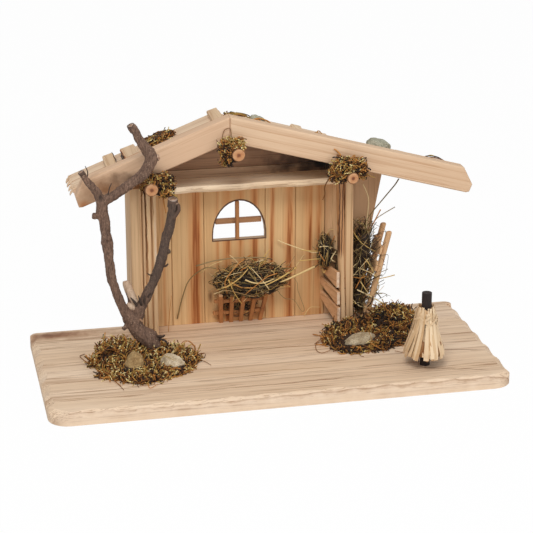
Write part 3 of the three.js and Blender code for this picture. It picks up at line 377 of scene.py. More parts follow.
# Painted shade: the gable boards and outer panel darken towards the right, under the right roof, where shadow
# falls.
GABLE_PAINTED_SHADE = in_front(layers(
    stain_and_shade_patch(60, 104, 210, (130, 60, 40), (84, 56, 38), 0.6),
    stain_and_shade_patch(92, 104, 206, (110, 60, 40), (34, 20, 12), 1.0),
    stain_and_shade_patch(88, 104, 197, (90, 40, 26), (18, 10, 6), 1.0),
))
LEFT_POST_CRACKS = layers(
    crack((-119, 82), (-120.5, 194), 1.2, (160, 106, 62), 0.75, wander=2.6),
    crack((-119.4, 110), (-120.5, 194), 0.5, (98, 58, 32), 0.7, wander=2.6),
    crack((-112.5, 158), (-112, 194), 0.8, (140, 90, 50), 0.75, wander=1.8),
    stain_and_shade_patch(-110, 66, 120, (3, 12, 90), (222, 208, 190), 0.5),
)
RIGHT_POST_CRACKS = layers(
    crack((102.5, 100), (102.5, 196), 5.4, (184, 128, 78), 0.8, wander=0.6),
    crack((101.5, 98), (100.4, 196), 0.8, CHAR, 0.9, wander=1.8),
    crack((103.4, 98), (104.6, 196), 0.8, CHAR, 0.9, wander=2.2),
    crack((106.4, 98), (107, 196), 0.6, (120, 72, 40), 0.85, wander=0.8),
)


def soften(node, material, width=0.5 * MM):
    """A CAD board with its material, its corners welded and its sharp edges eased."""
    node.data.materials.clear()
    node.data.materials.append(material)
    weld = node.modifiers.new("weld", "WELD")
    weld.merge_threshold = 0.01 * MM
    bevel = node.modifiers.new("eased_edges", "BEVEL")
    bevel.width = width
    bevel.segments = 2
    bevel.limit_method = "ANGLE"
    bevel.angle_limit = math.radians(35)


def boards(names, look, *colours, **grain):
    """Gives CAD boards a wood of their own and returns it."""
    material = wood(f"{look}_wood", *colours, **grain)
    for name in names:
        soften(nodes[name], material)
    return material


boards(["base_board"], "base", (240, 215, 187), (220, 190, 157), (142, 96, 58), pith=(0.38, 0.1), ring=19,
       lines=0.85, warp=10, streaky=0.9, shade=BASE_STAINS)
boards(["left_barge_board"], "left_barge", (222, 188, 156), (208, 170, 136), GROWTH_LINE, grain=DOWN_LEFT,
       pith=(0.02, -0.32), ring=13, lines=0.4, streaky=0.3, shade=LEFT_BARGE_STAINS_AND_TREE_SHADOW)
boards(["right_barge_board"], "right_barge", (230, 200, 168), (216, 182, 148), (176, 126, 84),
       grain=DOWN_RIGHT, pith=(0.05, -0.4), ring=8, lines=1.25, warp=4, streaky=0.35)
boards([f"wall_board_{i}" for i in range(1, 6)], "wall", (230, 193, 142), (208, 162, 108), (166, 108, 58),
       grain=ALONG_Z, pith=(-0.02, 0.05), ring=8, lines=0.5, streaky=0.45, shade=WALL_STAINS)
# The mullion's left face is darkened: painted shade on the faces turned to -X.
boards(["window_mullion"], "mullion", (206, 150, 96), (176, 116, 66), (120, 72, 38), grain=ALONG_Z, ring=4,
       shade=side_colour_and_shade((96, 58, 34), "X", -0.4, -0.8))
boards(["window_transom"], "transom", (186, 138, 96), (158, 108, 70), (110, 68, 40), ring=4)
boards(["loft_board"], "loft", (255, 238, 212), (244, 216, 180), SPLIT_LINE, pith=(0.1, -0.1), ring=7,
       warp=6, lines=0.6)
boards(["gable_board_lower"], "lower_gable", (214, 180, 146), (182, 146, 114), (120, 88, 64),
       pith=(0.03, -0.3), ring=9, shade=GABLE_PAINTED_SHADE)
# The upper gable board has darker wood than the lower: partly its own browner tone, partly painted shade
# under the barge boards and roof.
boards(["gable_board_upper"], "upper_gable", (184, 142, 108), (150, 110, 80), (88, 58, 38),
       pith=(0.03, -0.3), ring=11, shade=GABLE_PAINTED_SHADE)
boards(["outer_panel"], "outer", (216, 176, 136), (196, 154, 114), (158, 116, 80), grain=ALONG_Z,
       pith=(0.2, -0.2), ring=19, lines=0.3, shade=GABLE_PAINTED_SHADE)
boards(["left_side_wall", "side_panel"], "split", *SPLIT_COLOURS, grain=ALONG_Z, pith=(-0.11, 0.13), ring=9)
boards(["left_post"], "left_post", *SPLIT_COLOURS, grain=ALONG_Z, pith=(-0.11, 0.1), ring=6,
       shade=LEFT_POST_CRACKS)
boards(["right_post"], "right_post", *SPLIT_COLOURS, grain=ALONG_Z, pith=(-0.11, -0.1), ring=6,
       shade=RIGHT_POST_CRACKS)
LEFT_DECK_WOOD = boards(["left_roof_deck"], "left_deck", *DECK_COLOURS, grain=DOWN_LEFT, pith=(0.2, -0.1),
                        ring=13)
boards(["right_roof_deck", "right_ledge_board"], "right_deck", *DECK_COLOURS, grain=DOWN_RIGHT,
       pith=(0.2, -0.1), ring=13)
boards(["ridge_batten", "eave_batten", "ledge_chip", "right_chip"], "batten", (232, 204, 168), CHIP_DARK,
       SPLIT_LINE, grain=ALONG_Y, pith=(0.1, -0.1), ring=6, shade=side_colour_and_shade((150, 96, 56), "X", 0.5, 0.9))
boards(["bark_batten"], "bark_batten", (238, 216, 188), CHIP_DARK, SPLIT_LINE, grain=ALONG_Y, ring=6,
       shade=layers(side_colour_and_shade(RUST, "X", -0.4, -0.8), side_colour_and_shade(RUST, "Y", -0.5, -0.9)))
boards(["rack_upright_front", "rack_upright_back", "rack_slat_1", "rack_slat_2", "rack_slat_3"], "stick",
       (222, 180, 134), (198, 148, 100), (150, 92, 50), grain=ALONG_Z, pith=(-0.1, 0.02), ring=5)
boards(["manger"], "manger", (196, 134, 80), (158, 100, 56), (100, 56, 28), grain=ALONG_Z,
       pith=(-0.09, 0.01), ring=4, shade=pale_above(53.6, (226, 186, 142)))
boards(["fence_plank_1", "fence_plank_2", "fence_plank_3"], "plank", (224, 180, 136), (196, 146, 102),
       (140, 88, 52), grain=ALONG_Y, pith=(0.1, 0.05), ring=7,
       shade=side_colour_and_shade((240, 214, 188), "Y", -0.5, -0.9))

# Round purlins: middle in X and Z and radius, in mm
for purlin, (x, z, radius) in {"ridge_purlin": (-22.5, 234.5, 7.5), "left_purlin": (-118, 201.3, 7.5),
                               "right_purlin": (105.6, 200.3, 6.7)}.items():
    boards([purlin], purlin, (238, 204, 160), (220, 176, 128), (168, 100, 54), grain=ALONG_Y,
           pith=(x * MM, -z * MM), ring=2.2, lines=0.7, warp=0.8, shade=heart(x, z, radius))


# Thin round and flat strands

def unit(vector):
    return vector / (np.linalg.norm(vector) + 1e-12)


def smooth_path(points, steps=4):
    """A smooth curve in metres through points in mm."""
    given = np.array(points, float) * MM
    ends = np.vstack([2 * given[0] - given[1], given, 2 * given[-1] - given[-2]])
    path = []
    for i in range(1, len(ends) - 2):
        before, start, end, after = ends[i - 1:i + 3]
        for t in np.arange(steps) / steps:
            square = (2 * before - 5 * start + 4 * end - after) * t ** 2
            cube = (3 * start - before - 3 * end + after) * t ** 3
            path.append(0.5 * (2 * start + (end - before) * t + square + cube))
    return np.array([*path, given[-1]])


def mark(mesh, name, values):
    """A number on each of a mesh's points, for its material to read."""
    attribute = mesh.attributes.new(name, "FLOAT", "POINT")
    attribute.data.foreach_set("value", values.astype(np.float32))


def finished(name, mesh, material, replaced=(), smooth=True):
    """A new piece on the stable's one body, standing for the nodes that it replaces."""
    mesh.polygons.foreach_set("use_smooth", [smooth] * len(mesh.polygons))
    mesh.materials.clear()
    mesh.materials.append(material)
    mesh.update()
    piece = bpy.data.objects.new(name, mesh)
    bpy.context.scene.collection.objects.link(piece)
    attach(piece, "root")
    if replaced:
        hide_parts(*replaced)
    return piece


class Strands:
    """Many thin closed tubes gathered into one mesh; each point has a tint from 0 to 1."""

    def __init__(self, sides):
        self.sides = sides
        self.points, self.faces, self.tints = [], [], []
        self.count = 0

    def add(self, path, radii, tints, flat=1.0, facing=None, twist=0.0):
        """A tube along path. flat squeezes its section across facing, the way its broad side looks."""
        path = np.asarray(path, float)
        steps = len(path)
        radii = np.broadcast_to(np.asarray(radii, float), steps)
        tangents = np.gradient(path, axis=0)
        tangents /= np.linalg.norm(tangents, axis=1)[:, None] + 1e-12
        if facing is None:
            chord = path[-1] - path[0]
            facing = np.eye(3)[int(np.argmin(np.abs(chord)))]
        side = np.cross(tangents, np.asarray(facing, float))
        side /= np.linalg.norm(side, axis=1)[:, None] + 1e-12
        rise = np.cross(side, tangents)
        angles = np.arange(self.sides) / self.sides * 2 * math.pi + math.pi / self.sides
        turn = angles[None, :] + (np.arange(steps) * twist)[:, None]
        rings = path[:, None, :] + radii[:, None, None] * (
            np.cos(turn)[:, :, None] * side[:, None, :] + flat * np.sin(turn)[:, :, None] * rise[:, None, :]
        )
        first = self.count + np.arange(steps - 1)[:, None] * self.sides
        here = first + np.arange(self.sides)
        ahead = first + (np.arange(self.sides) + 1) % self.sides
        quads = np.stack([here, ahead, ahead + self.sides, here + self.sides], axis=2).reshape(-1, 4)
        self.faces.extend(quads.tolist())
        self.faces.append([self.count + j for j in reversed(range(self.sides))])
        self.points.append(rings.reshape(-1, 3))
        self.tints.append(np.repeat(np.broadcast_to(np.asarray(tints, float), steps), self.sides))
        self.count += steps * self.sides
        self.faces.append([self.count - self.sides + j for j in range(self.sides)])

    def add_stalks(self, stalks, flat=0.8):
        """Stalks, thinner at their tips, each given as radius in mm, tint, and points in mm."""
        for radius, tint, points in stalks:
            path = smooth_path(points)
            self.add(path, radius * MM * np.linspace(1, 0.65, len(path)), tint, flat)

    def add_limb(self, points, radii, tint, **form):
        """A limb through points in mm, with radii in mm spread evenly from its foot to its tip."""
        path = smooth_path(points, 3)
        along = np.linspace(0, 1, len(path))
        self.add(path, np.interp(along, np.linspace(0, 1, len(radii)), radii) * MM, tint, **form)

    def add_mesh(self, points, faces, tint):
        self.faces.extend([self.count + i for i in face] for face in faces)
        self.points.append(points)
        self.tints.append(np.full(len(points), tint))
        self.count += len(points)

    def piece(self, name, material, slot, replaced=(), smooth=True):
        mesh = bpy.data.meshes.new(name)
        mesh.from_pydata(np.concatenate(self.points).tolist(), [], self.faces)
        mark(mesh, "tint", np.concatenate(self.tints))
        return finished(name, mesh, material, replaced, smooth)


def tinted(name, roughness, *stops, mottled=0.25):
    """A material whose colour follows each strand's tint, with fine mottling."""
    shader = Shader(name, roughness)
    tint = shader.node("Attribute", {}, attribute_name="tint").outputs["Fac"]
    grain = shader.noise(shader.place(), 2200, 2)
    shader.bump(grain, 0.1 * MM, 0.5)
    mottle = shader.times(shader.minus(grain, 0.5), mottled)
    return shader.colour(shader.ramp(shader.plus(tint, mottle), *stops))


MOSS = tinted(
    "dried_moss", 0.9,
    (0.0, (20, 11, 5)), (0.18, (66, 40, 18)), (0.36, (142, 90, 40)), (0.52, (204, 138, 66)),
    (0.68, (152, 118, 52)), (0.84, (208, 176, 98)), (1.0, (250, 234, 180)),
)
HAY = tinted(
    "dried_hay", 0.7,
    (0.0, (24, 15, 8)), (0.18, (62, 42, 22)), (0.36, (116, 96, 48)), (0.52, (158, 134, 92)),
    (0.66, (190, 122, 56)), (0.8, (214, 176, 98)), (1.0, (238, 216, 166)), mottled=0.12,
)
STRAW = tinted("cream_straw", 0.55, (0.0, (84, 48, 20)), (0.25, (166, 112, 58)), (0.55, (206, 170, 126)),
               (1.0, (234, 208, 172)))
TWIG = tinted("twig_bark", 0.75, (0.0, (34, 25, 20)), (0.45, (96, 72, 58)), (0.75, (158, 120, 90)),
              (1.0, (240, 216, 198)))


def extent(name):
    """Low and high corner, middle and half size of a CAD node's box."""
    low, high = (np.array(corner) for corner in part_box(name))
    return low, high, (low + high) / 2, (high - low) / 2


def triangles(name):
    """Corner points of a CAD node's triangles, in metres."""
    mesh = nodes[name].data
    mesh.calc_loop_triangles()
    corners = np.array([t.vertices[:] for t in mesh.loop_triangles])
    return np.array([v.co[:] for v in mesh.vertices])[corners]


def scatter(corners, density, rng):
    """Random points on triangles, so many to a square mm, with the triangles' normals."""
    cross = np.cross(corners[:, 1] - corners[:, 0], corners[:, 2] - corners[:, 0])
    area = np.linalg.norm(cross, axis=1)
    count = int(area.sum() / 2 / MM ** 2 * density)
    chosen = rng.choice(len(corners), count, p=area / area.sum())
    share = np.sqrt(rng.random(count))
    second = rng.random(count)
    a, b, c = (corners[chosen, i] for i in range(3))
    points = a * (1 - share)[:, None] + b * (share * (1 - second))[:, None] + c * (share * second)[:, None]
    return points, cross[chosen] / area[chosen][:, None]


def shoot(rng, start, heading, length, curl, steps):
    """A path that bends steadily as it grows."""
    axis = unit(rng.normal(size=3))
    direction = unit(heading)
    points = [start]
    turn = curl / (steps - 1)
    for _ in range(steps - 1):
        direction = unit(direction * math.cos(turn) + np.cross(axis, direction) * math.sin(turn))
        points.append(points[-1] + direction * length / (steps - 1))
    return np.array(points)


def add_shade_core(strands, corners, sink, tint):
    """A dark core under loose strands, painted shade deep in heaps and tufts: the solid's own faces, drawn in
    towards its middle.
    """
    points, index = np.unique(np.round(corners.reshape(-1, 3) / (0.01 * MM)).astype(int), axis=0,
                              return_inverse=True)
    points = points * 0.01 * MM
    middle = points.mean(axis=0)
    reach = np.linalg.norm(points - middle, axis=1)[:, None]
    drawn = middle + (points - middle) * (1 - sink / np.maximum(reach, sink * 2))
    drawn[:, 2] = np.maximum(drawn[:, 2], points[:, 2].min())
    for i, point in enumerate(points):
        drawn[i] += np.array(noise.noise_vector(Vector(point) * 300)) * sink * 0.4
    strands.add_mesh(drawn, index.reshape(-1, 3).tolist(), tint)


# Moss

def level_reach(path, middle, half):
    """How far from a middle each point lies, seen from above, as a share of the half size."""
    return np.hypot(*((path - middle) / half)[:, :2].T)


def on_stone(path, spots):
    """Whether a shoot comes down on one of the stones, given as middle and half size."""
    return any((level_reach(path, middle, half) < 0.9).any() for middle, half in spots)


def covers(path, discs):
    """Whether a shoot lies in front of one of the discs, given as X, Z and radius in mm."""
    return any((np.hypot(path[:, 0] - x * MM, path[:, 2] - z * MM) < radius * MM).any()
               for x, z, radius in discs)


def laid_low(path, spots):
    """A shoot just in front of a stone, laid down so that it doesn't hide the stone."""
    for middle, half in spots:
        offset = (path - middle) / half
        near = (np.hypot(offset[:, 0], offset[:, 1] * 0.7) < 1.3) & (offset[:, 1] < 0.2)
        if near.any():
            path[:, 2] = np.minimum(path[:, 2], path[0, 2] + 0.8 * MM)
    return path


MOSS_TONES, MOSS_ODDS = [0.1, 0.3, 0.5, 0.68, 0.92], [0.24, 0.2, 0.24, 0.14, 0.18]
LEAFY = np.array([0.5, 1.0, 0.7, 1.05, 0.65, 1.0, 0.7, 0.95, 0.2])
SHADED_FOOT = np.array([0.1, 0.45, 0.7, 1.0, 0.8, 1.05, 0.85, 1.0, 1.1])


def moss_shoot(rng, point, normal, length, rise, along):
    """A curled shoot that starts a little inside its tuft."""
    heading = unit(np.cross(normal, rng.normal(size=3))) + normal * rng.uniform(-0.05, rise)
    if along is not None:
        heading = heading + np.array(along) * rng.choice([-1.6, 1.6])
    curl = rng.uniform(0.6, 4.2)
    return shoot(rng, point - normal * 1.2 * MM, heading, rng.uniform(*length) * MM, curl, 9)


def add_strays(strands, rng, points, low, middle, spots, count):
    """Thin shoots that run out over the ground from a tuft's foot."""
    for _ in range(count):
        start = points[rng.integers(len(points))].copy()
        outward = unit((start - middle) * [1, 1, 0])
        start[2] = low[2] + rng.uniform(0.8, 3) * MM
        heading = outward + rng.normal(0, 0.9, 3) * [1, 1, 0.15]
        path = shoot(rng, start, heading, rng.uniform(7, 20) * MM, rng.uniform(0.8, 3.6), 9)
        path[:, 2] = np.clip(path[:, 2], low[2] + 0.5 * MM, start[2] + 5 * MM)
        if not on_stone(path, spots):
            strands.add(path, rng.uniform(0.3, 0.6) * MM, rng.uniform(0.15, 0.7))


def moss_piece(name, seed, density, length, rise, strays=0, stones=(), along=None, lid=None, clear=(),
               shift=0.0):
    """Curled, leafy moss shoots all over a CAD tuft, round a dark core of painted shade, with ragged strays
    at its rim.

    rise is how far they stand up, along a direction in which those of a flat mat lie, lid the height at X 0
    and slope of a plane that they stay under, clear holds discs (X, Z and radius in mm) that none covers, and
    shift makes them all lighter or darker."""
    rng = np.random.default_rng(seed)
    corners = triangles(name)
    low, high = corners.reshape(-1, 3).min(axis=0), corners.reshape(-1, 3).max(axis=0)
    middle, half = (low + high) / 2, (high - low) / 2
    strands = Strands(4)
    add_shade_core(strands, corners, 3 * MM, 0.1)
    upward = np.cross(corners[:, 1] - corners[:, 0], corners[:, 2] - corners[:, 0])[:, 2]
    outer = corners[upward > -0.3 * np.abs(upward).max()] if strays else corners
    points, normals = scatter(outer, density, rng)
    patch = rng.random(3) * 50
    spots = [extent(rock)[2:] for rock in stones]
    for point, normal in zip(points, normals):
        path = moss_shoot(rng, point, normal, length, rise, along)
        leaf = rng.uniform(0.45, 1.0) * MM
        tone = rng.choice(MOSS_TONES, p=MOSS_ODDS) + rng.normal(shift, 0.05)
        tone += noise.noise(Vector(point * 70 + patch)) * 0.35
        edge = 0.93 + 0.2 * noise.noise(Vector(point * 40 + patch))
        if strays and level_reach(path, middle, half).max() > edge:
            path[:, :2] = path[0, :2] - (path[:, :2] - path[0, :2]) * 0.8
        if not strays:
            margin = rng.uniform(-2.5, 3.5) * MM
            path = np.clip(path, low - margin, high + margin)
        if lid is not None:
            roof = (lid[0] + rng.uniform(-2.5, 0.8)) * MM + lid[1] * path[:, 0]
            path[:, 2] = np.minimum(path[:, 2], roof)
        if covers(path, clear) or on_stone(path, spots):
            continue
        path = laid_low(path, spots)
        path[:, 2] = np.maximum(path[:, 2], low[2] + 0.4 * MM)
        tints = np.clip(np.clip(tone, 0.03, 0.95) * SHADED_FOOT, 0, 1)
        strands.add(path, LEAFY * leaf, tints, twist=math.pi / 4)
    add_strays(strands, rng, points, low, middle, spots, strays)
    return strands.piece(f"{name}_shoots", MOSS, "moss", (name,))


DOWN_LEFT_SLOPE = (math.cos(LEFT_PITCH), 0, math.sin(LEFT_PITCH))
DOWN_RIGHT_SLOPE = (math.cos(RIGHT_PITCH), 0, -math.sin(RIGHT_PITCH))

moss_piece("left_roof_moss", 11, 0.5, (6, 13), 0.1, along=DOWN_LEFT_SLOPE, lid=(281.5, 0.386))
moss_piece("ridge_moss", 12, 0.6, (6, 14), 0.15, along=DOWN_RIGHT_SLOPE, lid=(260.4, -0.274))
moss_piece("right_roof_moss", 13, 0.6, (6, 12), 0.12, along=DOWN_RIGHT_SLOPE, lid=(258.4, -0.274))
moss_piece("left_purlin_moss", 14, 0.34, (8, 15), 0.15, clear=[(-118, 198, 7.6), (-118, 190, 8)])
moss_piece("ridge_purlin_moss", 15, 0.34, (8, 15), 0.15,
           clear=[(-22.5, 233.5, 7), (-13, 230, 9), (-21, 225, 7)])
moss_piece("right_purlin_moss", 16, 0.34, (8, 16), 0.25, clear=[(105.6, 200.3, 6.7), (108, 190, 9)])
moss_piece("tree_moss", 17, 0.3, (8, 17), 0.3, 110, ("tree_stone_left", "tree_stone_right"), shift=0.04)
moss_piece("post_moss", 18, 0.31, (8, 17), 0.3, 90, ("post_stone",), shift=-0.08)

# Single strands of moss: radius in mm, tint, and points in mm
MOSS_CURLS = [
    (0.5, 0.3, [(-196, 38, 15), (-201.5, 33.7, 15), (-198.7, 18.9, 16), (-192.7, 5.6, 15),
        (-184, -6.3, 16)]),
    (0.45, 0.35, [(-88, -2, 17), (-77.4, -4.4, 16), (-70.5, -9.2, 15), (-65.1, -22, 15)]),
    (0.6, 0.42, [(-96, 24, 17), (-90.5, 30, 20), (-83.3, 38.5, 21), (-78.2, 28.8, 22), (-75.6, 11.8, 20),
        (-80.1, 5.4, 17)]),
    (0.5, 0.52, [(-98, 18, 16), (-93.8, 23.7, 18), (-87.8, 25.3, 23), (-79, 37.6, 21), (-74.7, 23.5, 19),
        (-75.4, 10.3, 15)]),
    (0.45, 0.3, [(-176, -30, 16), (-174.3, -37.4, 15), (-170, -55, 15), (-166.9, -69.3, 15)]),
    (0.4, 0.4, [(-177.7, -30, 16), (-168.5, -58.2, 15), (-173.3, -45.9, 15.5)]),
    (0.5, 0.5, [(-140, -58, 17), (-139.4, -69.9, 15), (-129.8, -63.1, 16)]),
    (0.45, 0.72, [(-136, -46, 18), (-133, -43.3, 21), (-123, -34, 31), (-117.4, -31, 34), (-108, -36, 30)]),
    (0.45, 0.35, [(-178, 40, 15), (-181.4, 53.1, 15), (-175.6, 45.9, 15)]),
    (0.5, 0.45, [(80, 26, 16), (64.7, 42.9, 15), (68.9, 36.3, 15.5), (75.3, 38.6, 16)]),
    (0.55, 0.35, [(76, 12, 17), (67.3, 15.6, 16), (60.9, 12.9, 15), (57.2, -4.5, 15), (61.2, -13.8, 15),
        (74, -8.8, 16)]),
    (0.5, 0.62, [(119.3, 16, 24), (118.4, 4, 30), (117.4, -9, 30), (119, -20, 20)]),
    (0.6, 0.3, [(168, 36, 20), (173.7, 44.5, 17), (187.2, 65.1, 15), (179.3, 46.7, 15), (166.2, 22.7, 16)]),
    (0.5, 0.95, [(160, 26, 24), (163.9, 23.4, 21), (164.8, 14.1, 17), (168.9, 11.6, 15),
        (174.7, 19.1, 15)]),
    (0.5, 0.35, [(140, -30, 17), (149.5, -30.4, 15), (155.1, -19.1, 15), (162.8, -8.7, 15)]),
    (0.45, 0.3, [(-37, 44.5, 246), (-37.7, 45.8, 251.1), (-35.7, 45.8, 258.4), (-32.3, 46.3, 260.6),
        (-28.5, 46.3, 260.1), (-27.5, 45.5, 250.7), (-29, 42, 246)]),
    (0.9, 0.5, [(-35, 40, 240), (-37.0, 40, 238.7), (-40.7, 38, 230.5), (-38.2, 40, 220.8)]),
    (1.0, 0.5, [(96, 40, 212), (94.3, 44, 223.4), (89.9, 46, 229.1), (87.3, 46, 230.5)]),
    (0.9, 0.42, [(97, 40, 212), (94.6, 44, 218.7), (90.6, 46, 224.4)]),
    (0.7, 0.7, [(116, 40, 206), (123.1, 40, 202.2), (127.2, 39, 199.5), (132.4, 38, 197.5)]),
    (0.9, 0.45, [(-105, 38, 196), (-104.5, 40, 191.1), (-103.5, 40, 181.9), (-101.8, 38, 171.9)]),
    (0.7, 0.8, [(-100, 36, 196), (-95.6, 34, 194.9), (-91.6, 32, 192.7), (-89.6, 34, 189.5)]),
    (0.9, 0.3, [(84, 50, 196), (82, 56, 190), (80.5, 60, 182), (81.5, 62, 174), (79, 62, 168)]),
    (1.0, 0.6, [(75, 84, 235.8), (78.5, 88, 239.8), (81.7, 90, 239.5), (85, 88, 234.6)]),
    (0.9, 0.4, [(72, 86, 236.8), (77, 90, 238.5), (83, 86, 236.5), (87, 90, 233)]),
    (0.9, 0.84, [(76, 80, 235.5), (80, 82, 238), (84, 84, 234.2)]),
    (0.8, 0.5, [(10, 92, 256), (14, 95, 257.5), (18, 95, 255), (22, 93, 251.5)]),
    (1.0, 0.72, [(-24, 78, 262), (-18, 80, 267), (-10, 82, 266), (-2, 84, 262), (6, 86, 260.5)]),
    (1.0, 0.88, [(-20, 84, 262), (-12, 86, 265.5), (-4, 88, 263), (3, 90, 258.5)]),
    (0.9, 0.38, [(-26, 74, 260), (-20, 74, 266.5), (-13, 76, 267.5), (-6, 78, 264.5)]),
    (0.8, 0.5, [(-6, 72, 262), (0, 73, 262), (7, 75, 261.5), (14, 77, 257)]),
    (0.9, 0.84, [(8, 80, 258), (14, 81, 260), (20, 84, 256.5), (26, 86, 250.5)]),
    (1.1, 0.68, [(-29, 80, 262), (-24, 81, 267.5), (-15, 82, 268), (-6, 83, 265.5), (-1, 84, 261.5)]),
    (1.1, 0.2, [(-27, 84, 262), (-20, 86, 266.5), (-10, 88, 266), (0, 90, 262.5), (5, 92, 258)]),
    (1.0, 0.52, [(2, 76, 260), (8, 77, 262), (14, 79, 260), (20, 82, 257.5), (24, 84, 254)]),
    (1.1, 0.1, [(198, 84, 199), (204, 86, 203.4), (212, 88, 203.6), (221, 90, 201), (229, 92, 196)]),
    (1.0, 0.3, [(199, 80, 198.6), (206, 82, 203.2), (215, 84, 202.4), (225, 86, 199), (231, 88, 194.6)]),
    (0.8, 0.84, [(203, 86, 199), (209, 88, 204), (215, 89, 203.6), (219, 90, 200)]),
]


def moss_curls():
    strands = Strands(5)
    strands.add_stalks(MOSS_CURLS)
    return strands.piece("moss_curls", MOSS, "moss")


moss_curls()


# Hay

HAY_TONES = [0.06, 0.18, 0.36, 0.52, 0.66, 0.8, 0.95]


def hay_tone(rng, dark):
    """A tint for one stalk; dark is the share of stalks that lie in the shade of the heap."""
    odds = np.array([0.55 * dark, 0.45 * dark, *(np.array([0.36, 0.25, 0.08, 0.17, 0.14]) * (1 - dark))])
    return float(np.clip(rng.choice(HAY_TONES, p=odds) + rng.normal(0, 0.03), 0.02, 0.98))


def tangle(strands, rng, middle, reach, count, level, dark, wall):
    """Arcs of stalk wound every way round a lump; a greater level lays more of them flat."""
    for _ in range(count):
        pole = unit(rng.normal(size=3) + np.array([0, 0, level]) * rng.choice([-1, 1]))
        first = unit(np.cross(pole, rng.normal(size=3)))
        second = np.cross(pole, first)
        angles = rng.uniform(0, 2 * math.pi) + np.linspace(0, rng.uniform(0.6, 2.3), 9)
        size = rng.uniform(0.6, 1.08) * (1 + rng.normal(0, 0.03, 9))
        lift = pole * rng.uniform(-0.4, 0.4)
        arc = (np.cos(angles) * size)[:, None] * first + (np.sin(angles) * size)[:, None] * second + lift
        if rng.random() < 0.55:
            start = first * rng.uniform(0.7, 1.12)
            end = unit(first + rng.normal(0, 0.8, 3)) * rng.uniform(0.7, 1.12)
            along = np.linspace(0, 1, 9)[:, None]
            bow = unit(start + end) * 4 * along * (1 - along) * rng.uniform(0, 0.3)
            arc = start + (end - start) * along + bow
        path = middle + arc * reach
        path[:, 1] = np.minimum(path[:, 1], wall)
        thick = rng.choice([0.3, 0.48, 0.8], p=[0.5, 0.37, 0.13]) * rng.uniform(0.8, 1.2) * MM
        strands.add(path, thick, hay_tone(rng, dark), flat=0.6)


# Lumps of the nest: place as a share of its half size, size, and number of stalks
NEST_LUMPS = [(-0.5, 0.1, 0.5, 85), (-0.12, 0.42, 0.5, 80), (0.34, 0.22, 0.56, 95), (0.66, 0.0, 0.36, 50),
              (-0.3, -0.3, 0.46, 70), (0.14, -0.32, 0.5, 80), (-0.74, 0.26, 0.24, 24), (0.4, 0.66, 0.3, 24)]
# Single stalks: radius in mm, tint, and points in mm
NEST_STALKS = [
    (1.1, 0.5, [(-59.6, 97, 87.5), (-41.9, 94, 92.9), (-24.3, 90, 96.2), (-10.4, 86, 97.5),
        (14.7, 88, 95.5), (27.7, 92, 91.2)]),
    (0.9, 0.68, [(3, 94, 96.7), (-6.8, 86, 94.9), (-17.4, 79, 89.5), (-30.4, 74, 75.2), (-27.4, 78, 58.2)]),
    (0.9, 0.96, [(36, 101, 110.6), (46.3, 97, 106.3), (66.2, 91, 99.3), (74.9, 88, 97.2),
        (83.8, 86, 97.7)]),
    (0.8, 0.82, [(58, 86, 89), (64.6, 84, 89.8), (82.2, 84, 90.4), (89.6, 85, 89.9)]),
    (1.4, 0.9, [(75, 80, 82.7), (41.4, 75, 71.3), (33.8, 78, 67.9)]),
    (1.2, 0.82, [(54.1, 82, 82.6), (34.7, 74, 74.9), (15, 72, 66.8)]),
    (1.2, 0.4, [(-4.2, 72, 85.3), (0.8, 70, 78.9), (10.3, 72, 65.2), (16.3, 78, 57.7)]),
    (0.9, 0.7, [(-23.9, 74, 73.8), (-13.6, 71, 67.9), (-0.9, 71, 65.9), (6, 73, 65.2)]),
    (0.9, 0.8, [(-26.7, 74, 76.9), (-20.2, 75, 60.7), (-10.3, 80, 44)]),
    (0.6, 0.9, [(-54.9, 98, 78.1), (-43.2, 92, 88.9), (-31.2, 88, 94.6)]),
    (0.5, 0.5, [(35.6, 90, 49.8), (43.5, 92, 41.7), (54.5, 95, 37.9), (64.4, 101, 21.9), (68.3, 101, 23.6),
        (59.7, 97, 48.4), (58, 94, 59.3), (50.4, 88, 70.2)]),
    (0.7, 0.8, [(9.7, 84, 84.4), (18.4, 92, 94.8), (26.7, 98, 101.7)]),
    (0.5, 0.55, [(44.4, 88, 80.4), (54.9, 94, 92.2)]),
    (0.5, 0.9, [(54.5, 86, 82.8), (64.7, 92, 93.3)]),
    (0.7, 0.55, [(-46.1, 90, 70.2), (-39.5, 86, 64.5), (-30.7, 80, 61.1)]),
    (0.9, 0.44, [(-81.3, 103, 23.1), (-75.4, 102, 47.9), (-67.3, 98, 71.1), (-50.5, 90, 86.9),
        (-38, 88, 86)]),
    (0.6, 0.66, [(-94.5, 86, 14.5), (-91, 96, 35.2), (-87.5, 103.5, 51.5)]),
    (1.1, 0.9, [(-8, 71, 76), (2, 70, 72), (14, 71, 71), (26, 73, 74)]),
    (0.9, 0.82, [(-34, 76, 66), (-26, 73, 70), (-14, 71, 79), (-4, 74, 88)]),
    (0.8, 0.95, [(20, 72, 62), (12, 71, 74), (0, 76, 88)]),
    (0.7, 0.55, [(-40, 78, 58), (-30, 74, 64), (-12, 70, 60), (4, 72, 54)]),
    (0.8, 0.68, [(30, 74, 80), (18, 71, 78), (6, 70, 70), (-8, 72, 58)]),
]
